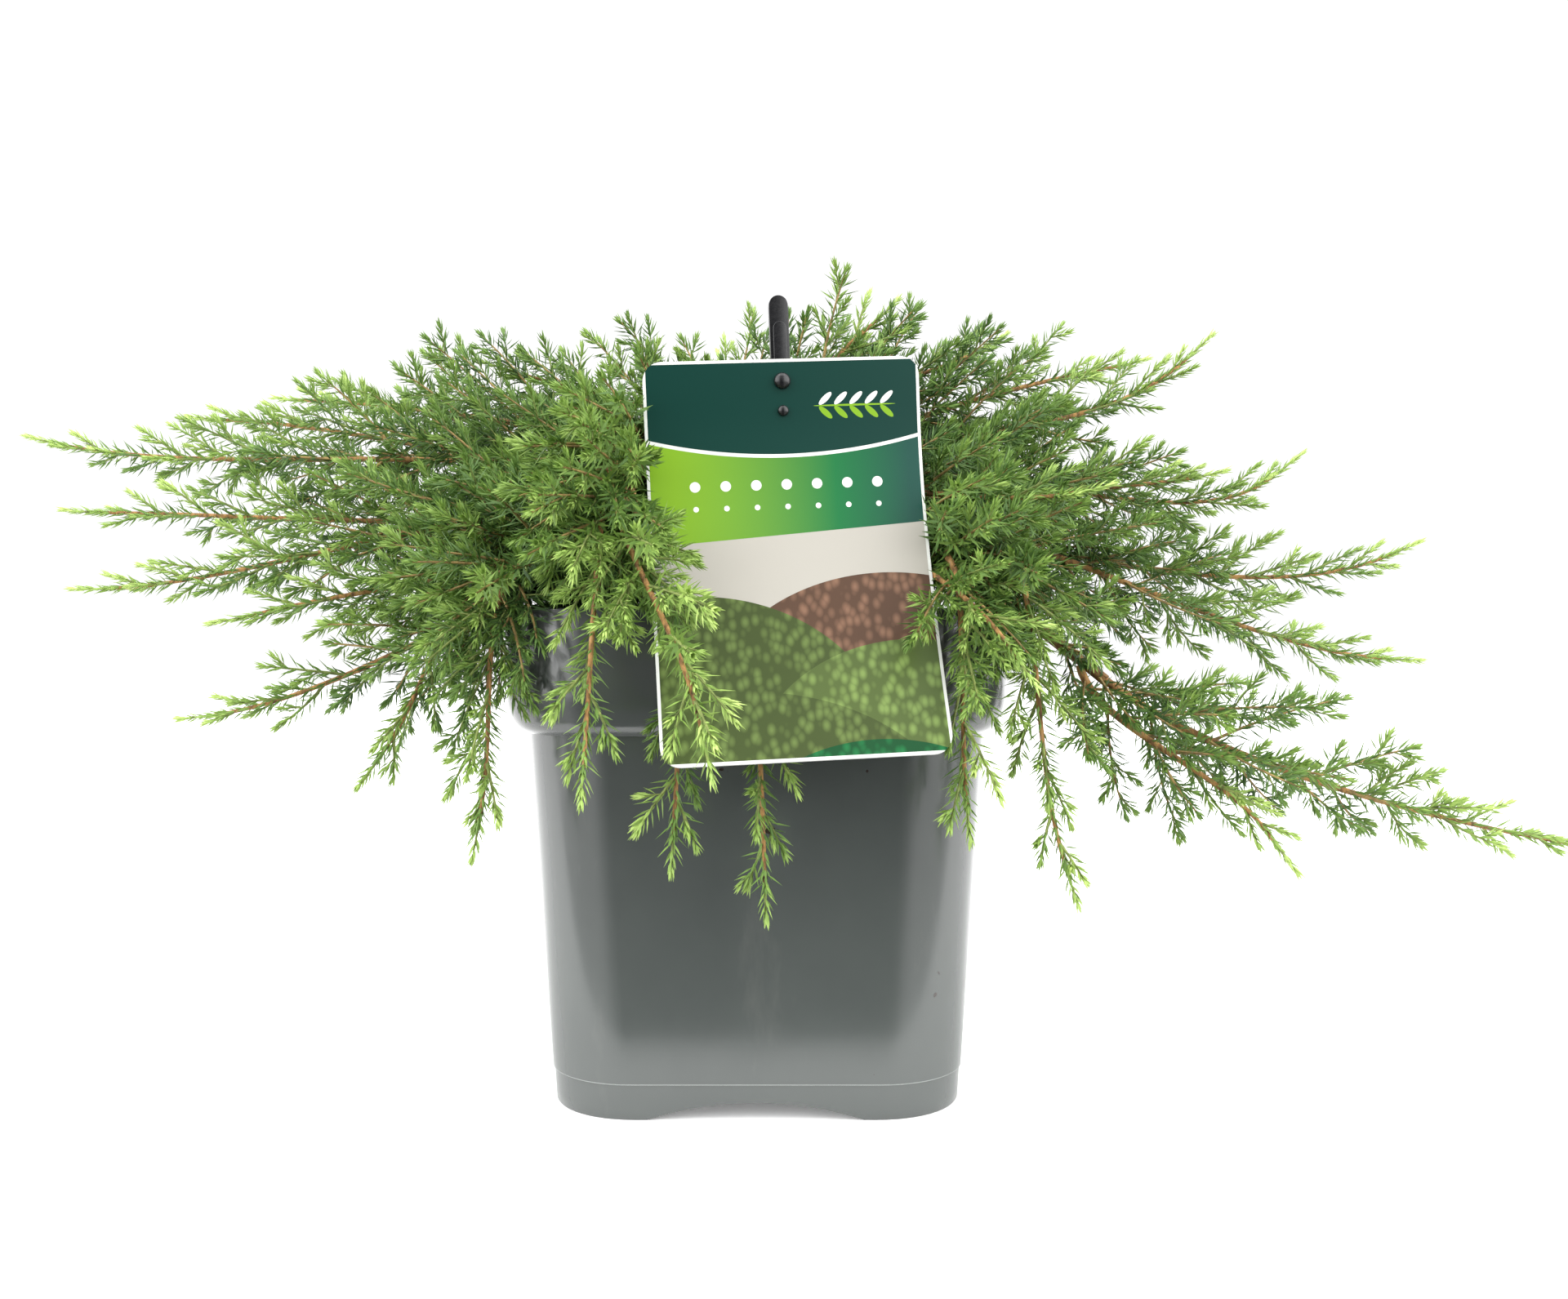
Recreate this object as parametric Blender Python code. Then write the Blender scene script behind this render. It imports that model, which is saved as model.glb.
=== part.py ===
"""A low, spreading juniper in a square nursery pot, with its plant label on a holder.

Run it with blender --background --python part.py, or from Blender's text editor.
Metres, +Z up. The origin is the middle of the pot's underside, and the label faces -Y.
"""

import math
import random

import bmesh
import bpy
from mathutils import Matrix, Vector
from mathutils.bvhtree import BVHTree

MM = 0.001
GAP = 0.3 * MM  # clearance between pieces that touch on the real plant
UP = Vector((0, 0, 1))

# Pot
POT_HALF_FOOT = 78.6 * MM  # half width across the flats, at the foot
POT_HALF_BODY = 87.5 * MM  # just under the collar
POT_HALF_COLLAR = 95.0 * MM
POT_HALF_RIM = 95.8 * MM
POT_HEIGHT = 190 * MM
POT_WALL = 2.0 * MM
POT_CORNER = 33 * MM  # radius of the round corners, seen from above
FOOT_BAND = 13.3 * MM  # height of the faint line round the foot
FOOT_STEP = 0.5 * MM
COLLAR_BOTTOM = 143.5 * MM
COLLAR_SHOULDER = 14.5 * MM  # height of the rounded step from body to collar
FLOOR_TOP = 8.6 * MM
ARCH_WIDTH = 82 * MM  # drainage arch in the middle of each side
ARCH_HEIGHT = 6.6 * MM
FOOT_PAD = 28 * MM  # half width of the flat pad in the middle of the underside
DRAIN_RADIUS = 5 * MM
DRAIN_OUT = 52 * MM
CORNER_STEPS = 4

# Soil
SOIL_EDGE = 174 * MM
SOIL_CROWN = 178 * MM  # flat middle that the trunk stands on
SOIL_PAD = 22 * MM

# Label and holder, in the frame of the upper knob
KNOB_PLACE = Vector((9.8, -95, 271.6)) * MM
LABEL_ROLL, LABEL_YAW, LABEL_LEAN = -2.6, 5.7, 4  # degrees
CARD_WIDTH = 100 * MM
CARD_LENGTH = 142 * MM
CARD_THICK = 0.8 * MM
CARD_CORNER = 7 * MM
CARD_ABOVE_KNOB = 7.9 * MM
CARD_BOW = 42 * MM  # how far the shoots behind it push its lower edge out
KNOB_RADIUS = 3.0 * MM
KNOB_STEM = 2.0 * MM
LOW_KNOB_DROP = 10.6 * MM
LOW_KNOB_SHARE = 0.66  # size of the lower knob beside the upper one
POST_WIDTH = 7.0 * MM
POST_THICK = 3.0 * MM
POST_ABOVE = 31 * MM
POST_BELOW = 148 * MM
TONGUE_WIDTH = 4.8 * MM
TONGUE_THICK = 1.6 * MM
TONGUE_ABOVE = 21.5 * MM

# Trunk
TRUNK_FLARE = 13 * MM
TRUNK_RADIUS = 8.2 * MM
TRUNK_TOP_RADIUS = 6.2 * MM
TRUNK_TOP = 240 * MM
TRUNK_LEAN = Vector((3, -2, 0)) * MM  # how far the top stands off the foot

# Boughs: azimuth in degrees from +X, where each leaves the trunk, and its tip (reach and height in mm)
BOUGHS = {
    "left_back": dict(azimuth=157, start=230, reach=46, height=259),
    "left": dict(azimuth=177, start=217, reach=46, height=245),
    "left_front": dict(azimuth=197, start=204, reach=46, height=228),
    "left_low": dict(azimuth=216, start=191, reach=76, height=216),
    "front_left": dict(azimuth=246, start=222, reach=74, height=254),
    "front": dict(azimuth=274, start=200, reach=62, height=224),
    "front_right": dict(azimuth=302, start=215, reach=42, height=235),
    "right_front": dict(azimuth=322, start=193, reach=80, height=217),
    "right_droop": dict(azimuth=338, start=207, reach=146, height=163),
    "right": dict(azimuth=354, start=221, reach=53, height=233),
    "right_upper": dict(azimuth=11, start=208, reach=49, height=246),
    "right_back": dict(azimuth=31, start=230, reach=41, height=262),
    "crown": dict(azimuth=330, start=240, reach=12, height=272),
    "crown_back": dict(azimuth=112, start=233, reach=36, height=268),
    "back_right": dict(azimuth=55, start=205, reach=46, height=233),
    "back": dict(azimuth=92, start=213, reach=46, height=239),
    "back_left": dict(azimuth=131, start=203, reach=46, height=233),
}
BOUGH_RADIUS = 3.1 * MM
BOUGH_TIP_RADIUS = 2.1 * MM
BOUGH_SIDES = 6
BOUGH_RINGS = 6
SEAT_FIRST = -2 * MM  # a limb is tried from here, then further off its carrier until it is clear
SEAT_STEP = 0.05 * MM

# Foliage masses: the bough each grows from, or the height where it starts on the trunk, then its tip (azimuth,
# reach and height in mm), the pitch of its end in degrees, and how long its side shoots are beside the usual.
# The first mass on each bough carries it on, and the others leave it beside its tip. A stem that hangs over the
# rim, or beside the label, passes a point on its way: via is that point's azimuth, reach and height.
MASSES = [
    dict(bough="left_back", azimuth=161, reach=236, height=295, pitch=4, full=1.0),
    dict(bough="left_back", azimuth=168, reach=260, height=282, pitch=2, full=0.95),
    dict(bough="left", azimuth=176, reach=312, height=266, pitch=12, full=1.0),
    dict(bough="left", azimuth=181, reach=281, height=233, pitch=0, full=1.0),
    dict(bough="left_front", azimuth=185, reach=268, height=200, pitch=-3, full=1.0),
    dict(bough="left_front", azimuth=192, reach=207, height=188, pitch=-16, full=1.1),
    dict(bough="left_low", via=(211, 124, 204), azimuth=213, reach=163, height=136, pitch=-50, full=0.8),
    dict(bough="left_low", azimuth=191, reach=220, height=149, pitch=-8, full=0.8),
    dict(bough="left_low", via=(225, 127, 201), azimuth=226, reach=141, height=114, pitch=-72, full=0.75),
    dict(bough="front_left", via=(243, 114, 236), azimuth=250, reach=158, height=137, pitch=-70, full=0.9),
    dict(bough="front_left", via=(247, 119, 222), azimuth=265, reach=166, height=146, pitch=-75, full=0.7),
    dict(bough="front", via=(270, 99.5, 198), azimuth=272, reach=112, height=93, pitch=-84, full=0.6),
    dict(bough="front", via=(258, 102, 199), azimuth=257, reach=122, height=112, pitch=-80, full=0.6),
    dict(bough="front_right", azimuth=319, reach=152, height=231, pitch=8, full=0.9),
    dict(bough="front_right", azimuth=304, reach=158, height=172, pitch=-50, full=0.9),
    dict(bough="right_front", via=(318, 130, 202), azimuth=318, reach=150, height=96, pitch=-66, full=0.8),
    dict(bough="right_front", via=(306, 122, 202), azimuth=304, reach=133, height=121, pitch=-72, full=0.7),
    dict(bough="right_droop", azimuth=350, reach=318, height=100, pitch=-10, full=0.75),
    dict(bough="right_droop", azimuth=337, reach=208, height=104, pitch=-60, full=0.7),
    dict(bough="right", azimuth=360, reach=268, height=171, pitch=-4, full=1.1),
    dict(bough="right", azimuth=4, reach=279, height=217, pitch=24, full=1.0),
    dict(bough="right_upper", azimuth=5, reach=229, height=253, pitch=42, full=1.0),
    dict(bough="right_upper", azimuth=354, reach=180, height=246, pitch=8, full=1.0),
    dict(bough="right_back", azimuth=19, reach=178, height=308, pitch=12, full=1.0),
    dict(bough="right_back", azimuth=6, reach=190, height=304, pitch=45, full=0.8),
    dict(bough="crown", azimuth=3, reach=50, height=316, pitch=42, full=0.75),
    dict(bough="crown", azimuth=20, reach=108, height=312, pitch=30, full=0.75),
    dict(bough="crown_back", azimuth=160, reach=124, height=303, pitch=18, full=0.85),
    dict(bough="crown_back", azimuth=105, reach=76, height=312, pitch=34, full=0.8),
    dict(bough="back_right", azimuth=48, reach=262, height=246, pitch=8, full=1.0),
    dict(bough="back_right", azimuth=66, reach=214, height=166, pitch=-30, full=1.0),
    dict(bough="back", azimuth=86, reach=252, height=262, pitch=10, full=1.0),
    dict(bough="back", azimuth=100, reach=222, height=182, pitch=-25, full=1.0),
    dict(bough="back_left", azimuth=118, reach=248, height=252, pitch=8, full=1.0),
    dict(bough="back_left", azimuth=139, reach=240, height=206, pitch=-12, full=1.0),
    dict(start=186, azimuth=188, reach=104, height=212, pitch=2, full=0.75),
    dict(start=185, azimuth=233, reach=86, height=210, pitch=0, full=0.7),
    dict(start=189, azimuth=352, reach=106, height=211, pitch=2, full=0.75),
]
STEM_RADIUS = 1.7 * MM
STEM_TIP_RADIUS = 0.8 * MM
STEM_RINGS = 7
STEM_SIDES = 3
SIDE_LEAVE = math.radians(40)  # angle at which a further mass leaves its bough
SIDE_SHARE = (1, 0.93, 0.83)  # where along the bough each of its masses leaves
TRUNK_LEAVE = 38  # degrees above the level at which a mass leaves the trunk

# Side shoots along a stem
SHOOT_SPACING = 8.0 * MM
SHOOT_LENGTH = 46 * MM  # next to the bough
SHOOT_TIP_LENGTH = 13 * MM  # added everywhere, and all there is at the tip
SHOOT_TURN = 137.5  # degrees from one to the next, round the stem
KEPT_SHOOT = 3  # the solids hold one shoot in this many, each larger
SPRAY_GROWTH = 1.45  # how much larger
SPRAY_SHORTER = (1, 0.8, 0.6)  # shares of its length tried where a spray meets something
SPRAY_WIDTH = 0.26  # half width as a share of length
SPRAY_THICK = 1.3 * MM
TEETH = (  # shortest spray, then along and out as shares: its edge, with a tip and a notch each, and its ridge
    (46 * MM, ((0, 0.08), (0.38, 0.9), (0.23, 0.24), (0.66, 1.0), (0.46, 0.24), (0.89, 0.62), (0.70, 0.17)),
     (0.13, 0.33, 0.56)),
    (25 * MM, ((0, 0.10), (0.48, 1.0), (0.32, 0.28), (0.82, 0.75), (0.60, 0.22)), (0.20, 0.45)),
    (0, ((0, 0.12), (0.56, 1.0), (0.38, 0.34)), (0.27,)),
)
SPRAY_CLEAR = 0.5 * MM
END_SPRAY_SHARE = 0.97  # the spray that ends a stem starts here
END_SPRAY_PAST = 12 * MM  # and runs so far past it


def clear_scene():
    """Removes whatever the file opened with."""
    for item in list(bpy.data.objects):
        bpy.data.objects.remove(item)


def material(name, colour, roughness):
    """A plain Principled material."""
    made = bpy.data.materials.new(name)
    made.use_nodes = True
    shader = made.node_tree.nodes["Principled BSDF"]
    shader.inputs["Base Color"].default_value = (*colour, 1)
    shader.inputs["Roughness"].default_value = roughness
    made.diffuse_color = (*colour, 1)
    return made


def add_object(name, mesh, finish, smooth=None):
    """Links a mesh as a named object, shaded smooth below the given angle."""
    made = bpy.data.objects.new(name, mesh)
    mesh.materials.append(finish)
    if smooth:
        mesh.shade_smooth()
        mesh.set_sharp_from_angle(angle=math.radians(smooth))
    bpy.context.scene.collection.objects.link(made)
    return made


def mesh_of(name, points, faces):
    """A mesh from points and faces, its normals made to point out."""
    work = bmesh.new()
    corners = [work.verts.new(p) for p in points]
    for face in faces:
        work.faces.new([corners[i] for i in face])
    bmesh.ops.recalc_face_normals(work, faces=work.faces)
    made = bpy.data.meshes.new(name)
    work.to_mesh(made)
    work.free()
    return made


def ring_faces(rings, count):
    """Quads between rings of count points, and a cap on each end."""
    faces = []
    for r in range(rings - 1):
        for i in range(count):
            j = (i + 1) % count
            low, high = r * count, (r + 1) * count
            faces.append((low + i, low + j, high + j, high + i))
    faces.append(tuple(reversed(range(count))))
    faces.append(tuple(range((rings - 1) * count, rings * count)))
    return faces


def as_cutter(piece):
    """Marks an object as a cutter, which is no part of the plant."""
    piece.hide_render = True
    piece.display_type = "WIRE"


def cut(piece, cutters, title):
    """Cuts a list of cutters from a piece with one Boolean."""
    group = bpy.data.collections.new(title)
    bpy.context.scene.collection.children.link(group)
    for cutter in cutters:
        as_cutter(cutter)
        bpy.context.scene.collection.objects.unlink(cutter)
        group.objects.link(cutter)
    boolean = piece.modifiers.new(title, "BOOLEAN")
    boolean.operation = "DIFFERENCE"
    boolean.solver = "EXACT"
    boolean.operand_type = "COLLECTION"
    boolean.collection = group


def polar(azimuth, reach, height):
    """A point from an azimuth in degrees from +X, a distance out and a height."""
    angle = math.radians(azimuth)
    return Vector((reach * math.cos(angle), reach * math.sin(angle), height))


def heading(azimuth, pitch):
    """A unit direction from an azimuth and a pitch, both in degrees."""
    flat = math.cos(math.radians(pitch))
    return polar(azimuth, flat, math.sin(math.radians(pitch)))


def hermite(start, start_pull, end, end_pull, share):
    """A point on the smooth curve between two points with these pulls."""
    s2, s3 = share**2, share**3
    here = start * (2 * s3 - 3 * s2 + 1) + end * (3 * s2 - 2 * s3)
    return here + start_pull * (s3 - 2 * s2 + share) + end_pull * (s3 - s2)


# Pot


def square_ring(half, radius, height, steps):
    """One level ring of a square with round corners."""
    points = []
    for corner in range(4):
        turn = corner * math.pi / 2
        middle = Matrix.Rotation(turn, 3, "Z") @ Vector((half - radius, half - radius, 0))
        for step in range(steps + 1):
            angle = turn + step / steps * math.pi / 2
            points.append(middle + Vector((math.cos(angle) * radius, math.sin(angle) * radius, height)))
    return points


def body_half(height):
    """Half width of the pot's body at a height above the foot band."""
    share = (height - FOOT_BAND) / (COLLAR_BOTTOM - FOOT_BAND)
    low = POT_HALF_FOOT + 1.2 * MM
    return low + (POT_HALF_BODY - low) * share


def collar_profile(inset):
    """The rounded step from body to collar, as (half width, height), from bottom to top."""
    steps = 4
    rise = POT_HALF_COLLAR - POT_HALF_BODY
    profile = []
    for i in range(steps + 1):
        angle = i / steps * math.pi / 2
        out = POT_HALF_BODY + rise * math.sin(angle) - inset
        profile.append((out, COLLAR_BOTTOM + COLLAR_SHOULDER * (1 - math.cos(angle))))
    return profile


def pot_rings():
    """Rings of the pot's skin, up the outside, over the rim and down the inside."""
    outer = [
        (POT_HALF_FOOT - 0.8 * MM, 0),
        (POT_HALF_FOOT, 0.8 * MM),
        (body_half(FOOT_BAND) - FOOT_STEP, FOOT_BAND),
        (body_half(FOOT_BAND), FOOT_BAND + 0.3 * MM),
        *collar_profile(0),
        (POT_HALF_RIM, POT_HEIGHT - 1 * MM),
        (POT_HALF_RIM - 0.5 * MM, POT_HEIGHT),
    ]
    inner = [
        (POT_HALF_RIM - POT_WALL, POT_HEIGHT),
        (POT_HALF_COLLAR - POT_WALL, COLLAR_BOTTOM + COLLAR_SHOULDER + 2 * MM),
        (POT_HALF_BODY - POT_WALL, COLLAR_BOTTOM + 2 * MM),
        (POT_HALF_FOOT - POT_WALL, FLOOR_TOP),
    ]
    points = []
    for half, height in outer:
        points += square_ring(half, POT_CORNER, height, CORNER_STEPS)
    for half, height in inner:
        points += square_ring(half, POT_CORNER - POT_WALL, height, CORNER_STEPS)
    return points, len(outer) + len(inner)


def arch_cutter(side):
    """A shallow arch from one side of the foot in to the pad in the middle."""
    half = ARCH_WIDTH / 2
    radius = (half**2 + ARCH_HEIGHT**2) / (2 * ARCH_HEIGHT)
    below = 3 * MM
    reach = math.acos((radius - ARCH_HEIGHT - below) / radius)
    steps = 12
    section = []
    for i in range(steps + 1):
        angle = reach * (1 - 2 * i / steps)
        section.append((radius * math.sin(angle), ARCH_HEIGHT + radius * (math.cos(angle) - 1)))
    points = []
    for out in (FOOT_PAD, POT_HALF_RIM):
        points += [Vector((x, -out, z)) for x, z in section]
    cutter = bpy.data.objects.new(f"arch_cutter_{side}", mesh_of("arch", points, ring_faces(2, steps + 1)))
    cutter.rotation_euler.z = side * math.pi / 2
    bpy.context.scene.collection.objects.link(cutter)
    return cutter


def drain_cutter(side):
    """A drain hole through the floor, over one arch."""
    count = 10
    points = []
    for height in (-2 * MM, FLOOR_TOP + 2 * MM):
        for i in range(count):
            angle = 2 * math.pi * i / count
            spot = Vector((math.cos(angle), math.sin(angle), 0)) * DRAIN_RADIUS
            points.append(spot + Vector((0, -DRAIN_OUT, height)))
    cutter = bpy.data.objects.new(f"drain_cutter_{side}", mesh_of("drain", points, ring_faces(2, count)))
    cutter.rotation_euler.z = side * math.pi / 2
    bpy.context.scene.collection.objects.link(cutter)
    return cutter


def build_pot(finish):
    points, rings = pot_rings()
    faces = ring_faces(rings, 4 * (CORNER_STEPS + 1))
    pot = add_object("pot", mesh_of("pot", points, faces), finish, smooth=35)
    cutters = [make(side) for side in range(4) for make in (arch_cutter, drain_cutter)]
    cut(pot, cutters, "pot_openings")
    return pot


# Soil


def build_soil(finish, holder_frame):
    """The root ball and potting mix, 0.3 mm inside the pot, with a slot for the holder's post."""
    steps = 4
    clear = POT_WALL + GAP
    levels = [
        (POT_HALF_FOOT - clear, FLOOR_TOP + GAP),
        (POT_HALF_BODY - clear, COLLAR_BOTTOM + 2 * MM),
        (POT_HALF_COLLAR - clear, COLLAR_BOTTOM + COLLAR_SHOULDER + 2 * MM),
        (POT_HALF_COLLAR - clear + 0.3 * MM, SOIL_EDGE),
    ]
    points = []
    for half, height in levels:
        points += square_ring(half - 0.3 * MM, POT_CORNER - clear, height, steps)
    points += square_ring(SOIL_PAD, SOIL_PAD * 0.7, SOIL_CROWN, steps)
    faces = ring_faces(len(levels) + 1, 4 * (steps + 1))
    soil = add_object("potting_soil", mesh_of("soil", points, faces), finish, smooth=35)
    width, depth = POST_WIDTH / 2 + GAP, POST_THICK + 2 * GAP
    slot = box_mesh("post_slot", -width, width, 0, depth, -POST_BELOW - GAP, 0)
    cutter = bpy.data.objects.new("post_slot_cutter", slot)
    cutter.parent = holder_frame
    cutter.location.y = post_front() - GAP
    bpy.context.scene.collection.objects.link(cutter)
    cut(soil, [cutter], "soil_slot")
    return soil


# Label and its holder


def box_mesh(name, x0, x1, y0, y1, z0, z1):
    """An upright box between these limits."""
    points = [Vector((x, y, z)) for z in (z0, z1) for x, y in ((x0, y0), (x1, y0), (x1, y1), (x0, y1))]
    return mesh_of(name, points, ring_faces(2, 4))


def card_bow(drop):
    """How far the card stands forward, at a distance down from the lower knob."""
    free = CARD_LENGTH - CARD_ABOVE_KNOB - LOW_KNOB_DROP
    share = max(0.0, drop - LOW_KNOB_DROP) / free
    return CARD_BOW * (3 * share**2 - share**3) / 2


def card_outline():
    """The card's outline in its own plane, as (across, down from its top edge)."""
    points = []
    steps = 4
    for corner, (side, down) in enumerate(((1, 0), (1, 1), (-1, 1), (-1, 0))):
        middle_x = side * (CARD_WIDTH / 2 - CARD_CORNER)
        middle_y = CARD_CORNER + down * (CARD_LENGTH - 2 * CARD_CORNER)
        for step in range(steps + 1):
            angle = (corner - 1 + step / steps) * math.pi / 2
            points.append((middle_x + CARD_CORNER * math.cos(angle), middle_y + CARD_CORNER * math.sin(angle)))
    return points


def build_card(finish, holder_frame):
    """The label card: flat round its knobs, then bowed forward over the shoots behind it."""
    work = bmesh.new()
    work.faces.new([work.verts.new((x, 0, -y)) for x, y in card_outline()])
    slices = 12
    for i in range(1, slices):
        plane = Vector((0, 0, -CARD_LENGTH * i / slices))
        everything = work.verts[:] + work.edges[:] + work.faces[:]
        bmesh.ops.bisect_plane(work, geom=everything, plane_co=plane, plane_no=UP)
    for vert in work.verts:
        drop = -vert.co.z - CARD_ABOVE_KNOB
        bow = card_bow(drop)
        vert.co.z = -drop + 0.2 * bow * bow / CARD_LENGTH
        vert.co.y = -bow
    bmesh.ops.recalc_face_normals(work, faces=work.faces)
    if sum(face.normal.y for face in work.faces) > 0:
        bmesh.ops.reverse_faces(work, faces=work.faces)
    mesh = bpy.data.meshes.new("card")
    work.to_mesh(mesh)
    work.free()
    card = add_object("label_card", mesh, finish)
    card.parent = holder_frame
    thick = card.modifiers.new("card_thickness", "SOLIDIFY")
    thick.thickness = CARD_THICK
    thick.offset = -1
    cutters = []
    for drop, size in ((0, 1), (LOW_KNOB_DROP, LOW_KNOB_SHARE)):
        hole = knob_part("card_hole", KNOB_STEM * size + GAP, -4 * MM, 4 * MM, drop)
        cutters.append(hole)
        hole.parent = holder_frame
    cut(card, cutters, "card_holes")
    return card


def knob_part(name, radius, y0, y1, drop, top=None):
    """A round peg along Y at a distance below the upper knob; top narrows its front end."""
    count = 10
    points = []
    for y, size in ((y0, radius if top is None else top), (y1, radius)):
        for i in range(count):
            angle = 2 * math.pi * i / count
            points.append(Vector((math.cos(angle) * size, y, math.sin(angle) * size - drop)))
    made = bpy.data.objects.new(name, mesh_of(name, points, ring_faces(2, count)))
    bpy.context.scene.collection.objects.link(made)
    return made


def arched_bar(name, width, y0, y1, top, bottom):
    """A flat upright bar whose top end is a pointed arch."""
    half = width / 2
    section = [
        (-half, bottom),
        (half, bottom),
        (half, top - 1.1 * half),
        (0.8 * half, top - 0.5 * half),
        (0.3 * half, top),
        (-0.3 * half, top),
        (-0.8 * half, top - 0.5 * half),
        (-half, top - 1.1 * half),
    ]
    points = [Vector((x, y, z)) for y in (y0, y1) for x, z in section]
    made = bpy.data.objects.new(name, mesh_of(name, points, ring_faces(2, len(section))))
    bpy.context.scene.collection.objects.link(made)
    return made


def post_front():
    """Where the post's front face stands behind the card, in the label's frame."""
    return CARD_THICK + GAP + TONGUE_THICK


def build_holder(finish, holder_frame):
    """The black holder: a post in the soil, a tongue on its front, and two knobs through the card."""
    back = CARD_THICK + GAP
    front = post_front()
    post = arched_bar("label_holder", POST_WIDTH, front, front + POST_THICK, POST_ABOVE, -POST_BELOW)
    tongue_foot = -LOW_KNOB_DROP - 6 * MM
    sink = 0.6 * MM
    parts = [arched_bar("tongue", TONGUE_WIDTH, back, front + sink, TONGUE_ABOVE, tongue_foot)]
    for drop, size in ((0, 1), (LOW_KNOB_DROP, LOW_KNOB_SHARE)):
        head_back = -GAP
        head_front = head_back - 2.2 * MM * size
        radius = KNOB_RADIUS * size
        parts.append(knob_part("knob_stem", KNOB_STEM * size, head_back - sink, back + sink, drop))
        parts.append(knob_part("knob_head", radius, head_front, head_back, drop, top=radius * 0.45))
    post.data.materials.append(finish)
    fuse(post, parts, "EXACT")
    post.parent = holder_frame
    return post


def fuse(piece, parts, solver):
    """Joins parts into a piece with one Boolean union, applies it and removes the parts."""
    group = bpy.data.collections.new("fused")
    bpy.context.scene.collection.children.link(group)
    for part in parts:
        bpy.context.scene.collection.objects.unlink(part)
        group.objects.link(part)
    union = piece.modifiers.new("union", "BOOLEAN")
    union.operation = "UNION"
    union.solver = solver
    union.operand_type = "COLLECTION"
    union.collection = group
    bpy.context.view_layer.update()
    graph = bpy.context.evaluated_depsgraph_get()
    joined = bpy.data.meshes.new_from_object(piece.evaluated_get(graph))
    piece.modifiers.clear()
    piece.data = joined
    for part in parts:
        bpy.data.objects.remove(part)
    bpy.data.collections.remove(group)


# Trunk and boughs


def limb(name, path, radii, sides):
    """A tapering limb along a path, with a flat cut on each end."""
    points = []
    tangent = (path[1] - path[0]).normalized()
    side = tangent.orthogonal().normalized()
    for i, (spot, radius) in enumerate(zip(path, radii)):
        ahead = path[min(i + 1, len(path) - 1)] - path[max(i - 1, 0)]
        turned = tangent.rotation_difference(ahead.normalized())
        tangent = ahead.normalized()
        side = turned @ side
        other = tangent.cross(side)
        for k in range(sides):
            angle = 2 * math.pi * k / sides
            points.append(spot + (side * math.cos(angle) + other * math.sin(angle)) * radius)
    return mesh_of(name, points, ring_faces(len(path), sides))


def trunk_point(height):
    """The middle of the trunk at a height."""
    foot = SOIL_CROWN + GAP
    share = (height - foot) / (TRUNK_TOP - foot)
    return Vector((0, 0, height)) + TRUNK_LEAN * share**1.3 if share > 0 else Vector((0, 0, height))


def trunk_radius(height):
    """The trunk's radius at a height, with its flare at the foot."""
    foot = SOIL_CROWN + GAP
    share = (height - foot) / (TRUNK_TOP - foot)
    flare = (TRUNK_FLARE - TRUNK_RADIUS) * max(0.0, 1 - share * 5) ** 2
    return TRUNK_RADIUS + (TRUNK_TOP_RADIUS - TRUNK_RADIUS) * share + flare


def build_trunk(finish):
    foot = SOIL_CROWN + GAP
    shares = (0, 0.06, 0.14, 0.22, 0.5, 0.8, 1)
    heights = [foot + (TRUNK_TOP - foot) * s for s in shares]
    sides = 10
    points = []
    for height in heights:
        middle, radius = trunk_point(height), trunk_radius(height)
        for k in range(sides):
            angle = 2 * math.pi * k / sides
            points.append(middle + Vector((math.cos(angle), math.sin(angle), 0)) * radius)
    mesh = mesh_of("trunk", points, ring_faces(len(heights), sides))
    return add_object("trunk", mesh, finish, smooth=60)


def bough_curve(bough, clear):
    """Start, start pull, end and end pull of a bough's curve, which starts so far clear of the trunk."""
    start_height = bough["start"] * MM
    end = polar(bough["azimuth"], bough["reach"] * MM, bough["height"] * MM)
    if start_height >= TRUNK_TOP:
        start = trunk_point(TRUNK_TOP) + UP * clear
        leave = UP.copy()
    else:
        rise = (end.z - start_height) / end.xy.length
        pitch = 52 if rise > 0 else 46
        leave = heading(bough["azimuth"], pitch)
        off = trunk_radius(start_height) + clear + BOUGH_RADIUS * math.sin(math.radians(pitch))
        start = trunk_point(start_height) + heading(bough["azimuth"], 0) * off
    span = (end - start).length
    chord_pitch = math.degrees(math.asin((end.z - start.z) / span))
    arrive = heading(bough["azimuth"], chord_pitch - 22)
    return start, leave * span, end, arrive * span


def bough_radius(share):
    return BOUGH_RADIUS + (BOUGH_TIP_RADIUS - BOUGH_RADIUS) * share


def seat(route, radii, sides, carrier):
    """The path of a limb that starts as near to its carrier as the clearance lets it."""
    bark = tree_of([solid_points(carrier)])
    grown_radii = [radius + GAP / math.cos(math.pi / sides) for radius in radii]
    clear = SEAT_FIRST
    while True:
        path = [route(clear, i / (len(radii) - 1)) for i in range(len(radii))]
        if not tree_of([limb_points(path, grown_radii, sides)]).overlap(bark):
            return path, clear
        clear += SEAT_STEP


def build_boughs(finish, trunk):
    """Each bough as an object, and its path by name."""
    paths = {}
    boughs = []
    for name, bough in BOUGHS.items():
        radii = [bough_radius(i / (BOUGH_RINGS - 1)) for i in range(BOUGH_RINGS)]
        path, _ = seat(lambda clear, share: hermite(*bough_curve(bough, clear), share), radii, BOUGH_SIDES, trunk)
        mesh = limb(name, path, radii, BOUGH_SIDES)
        boughs.append(add_object(f"bough_{name}", mesh, finish, smooth=60))
        paths[name] = path
    return boughs, paths


# Foliage masses


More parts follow.
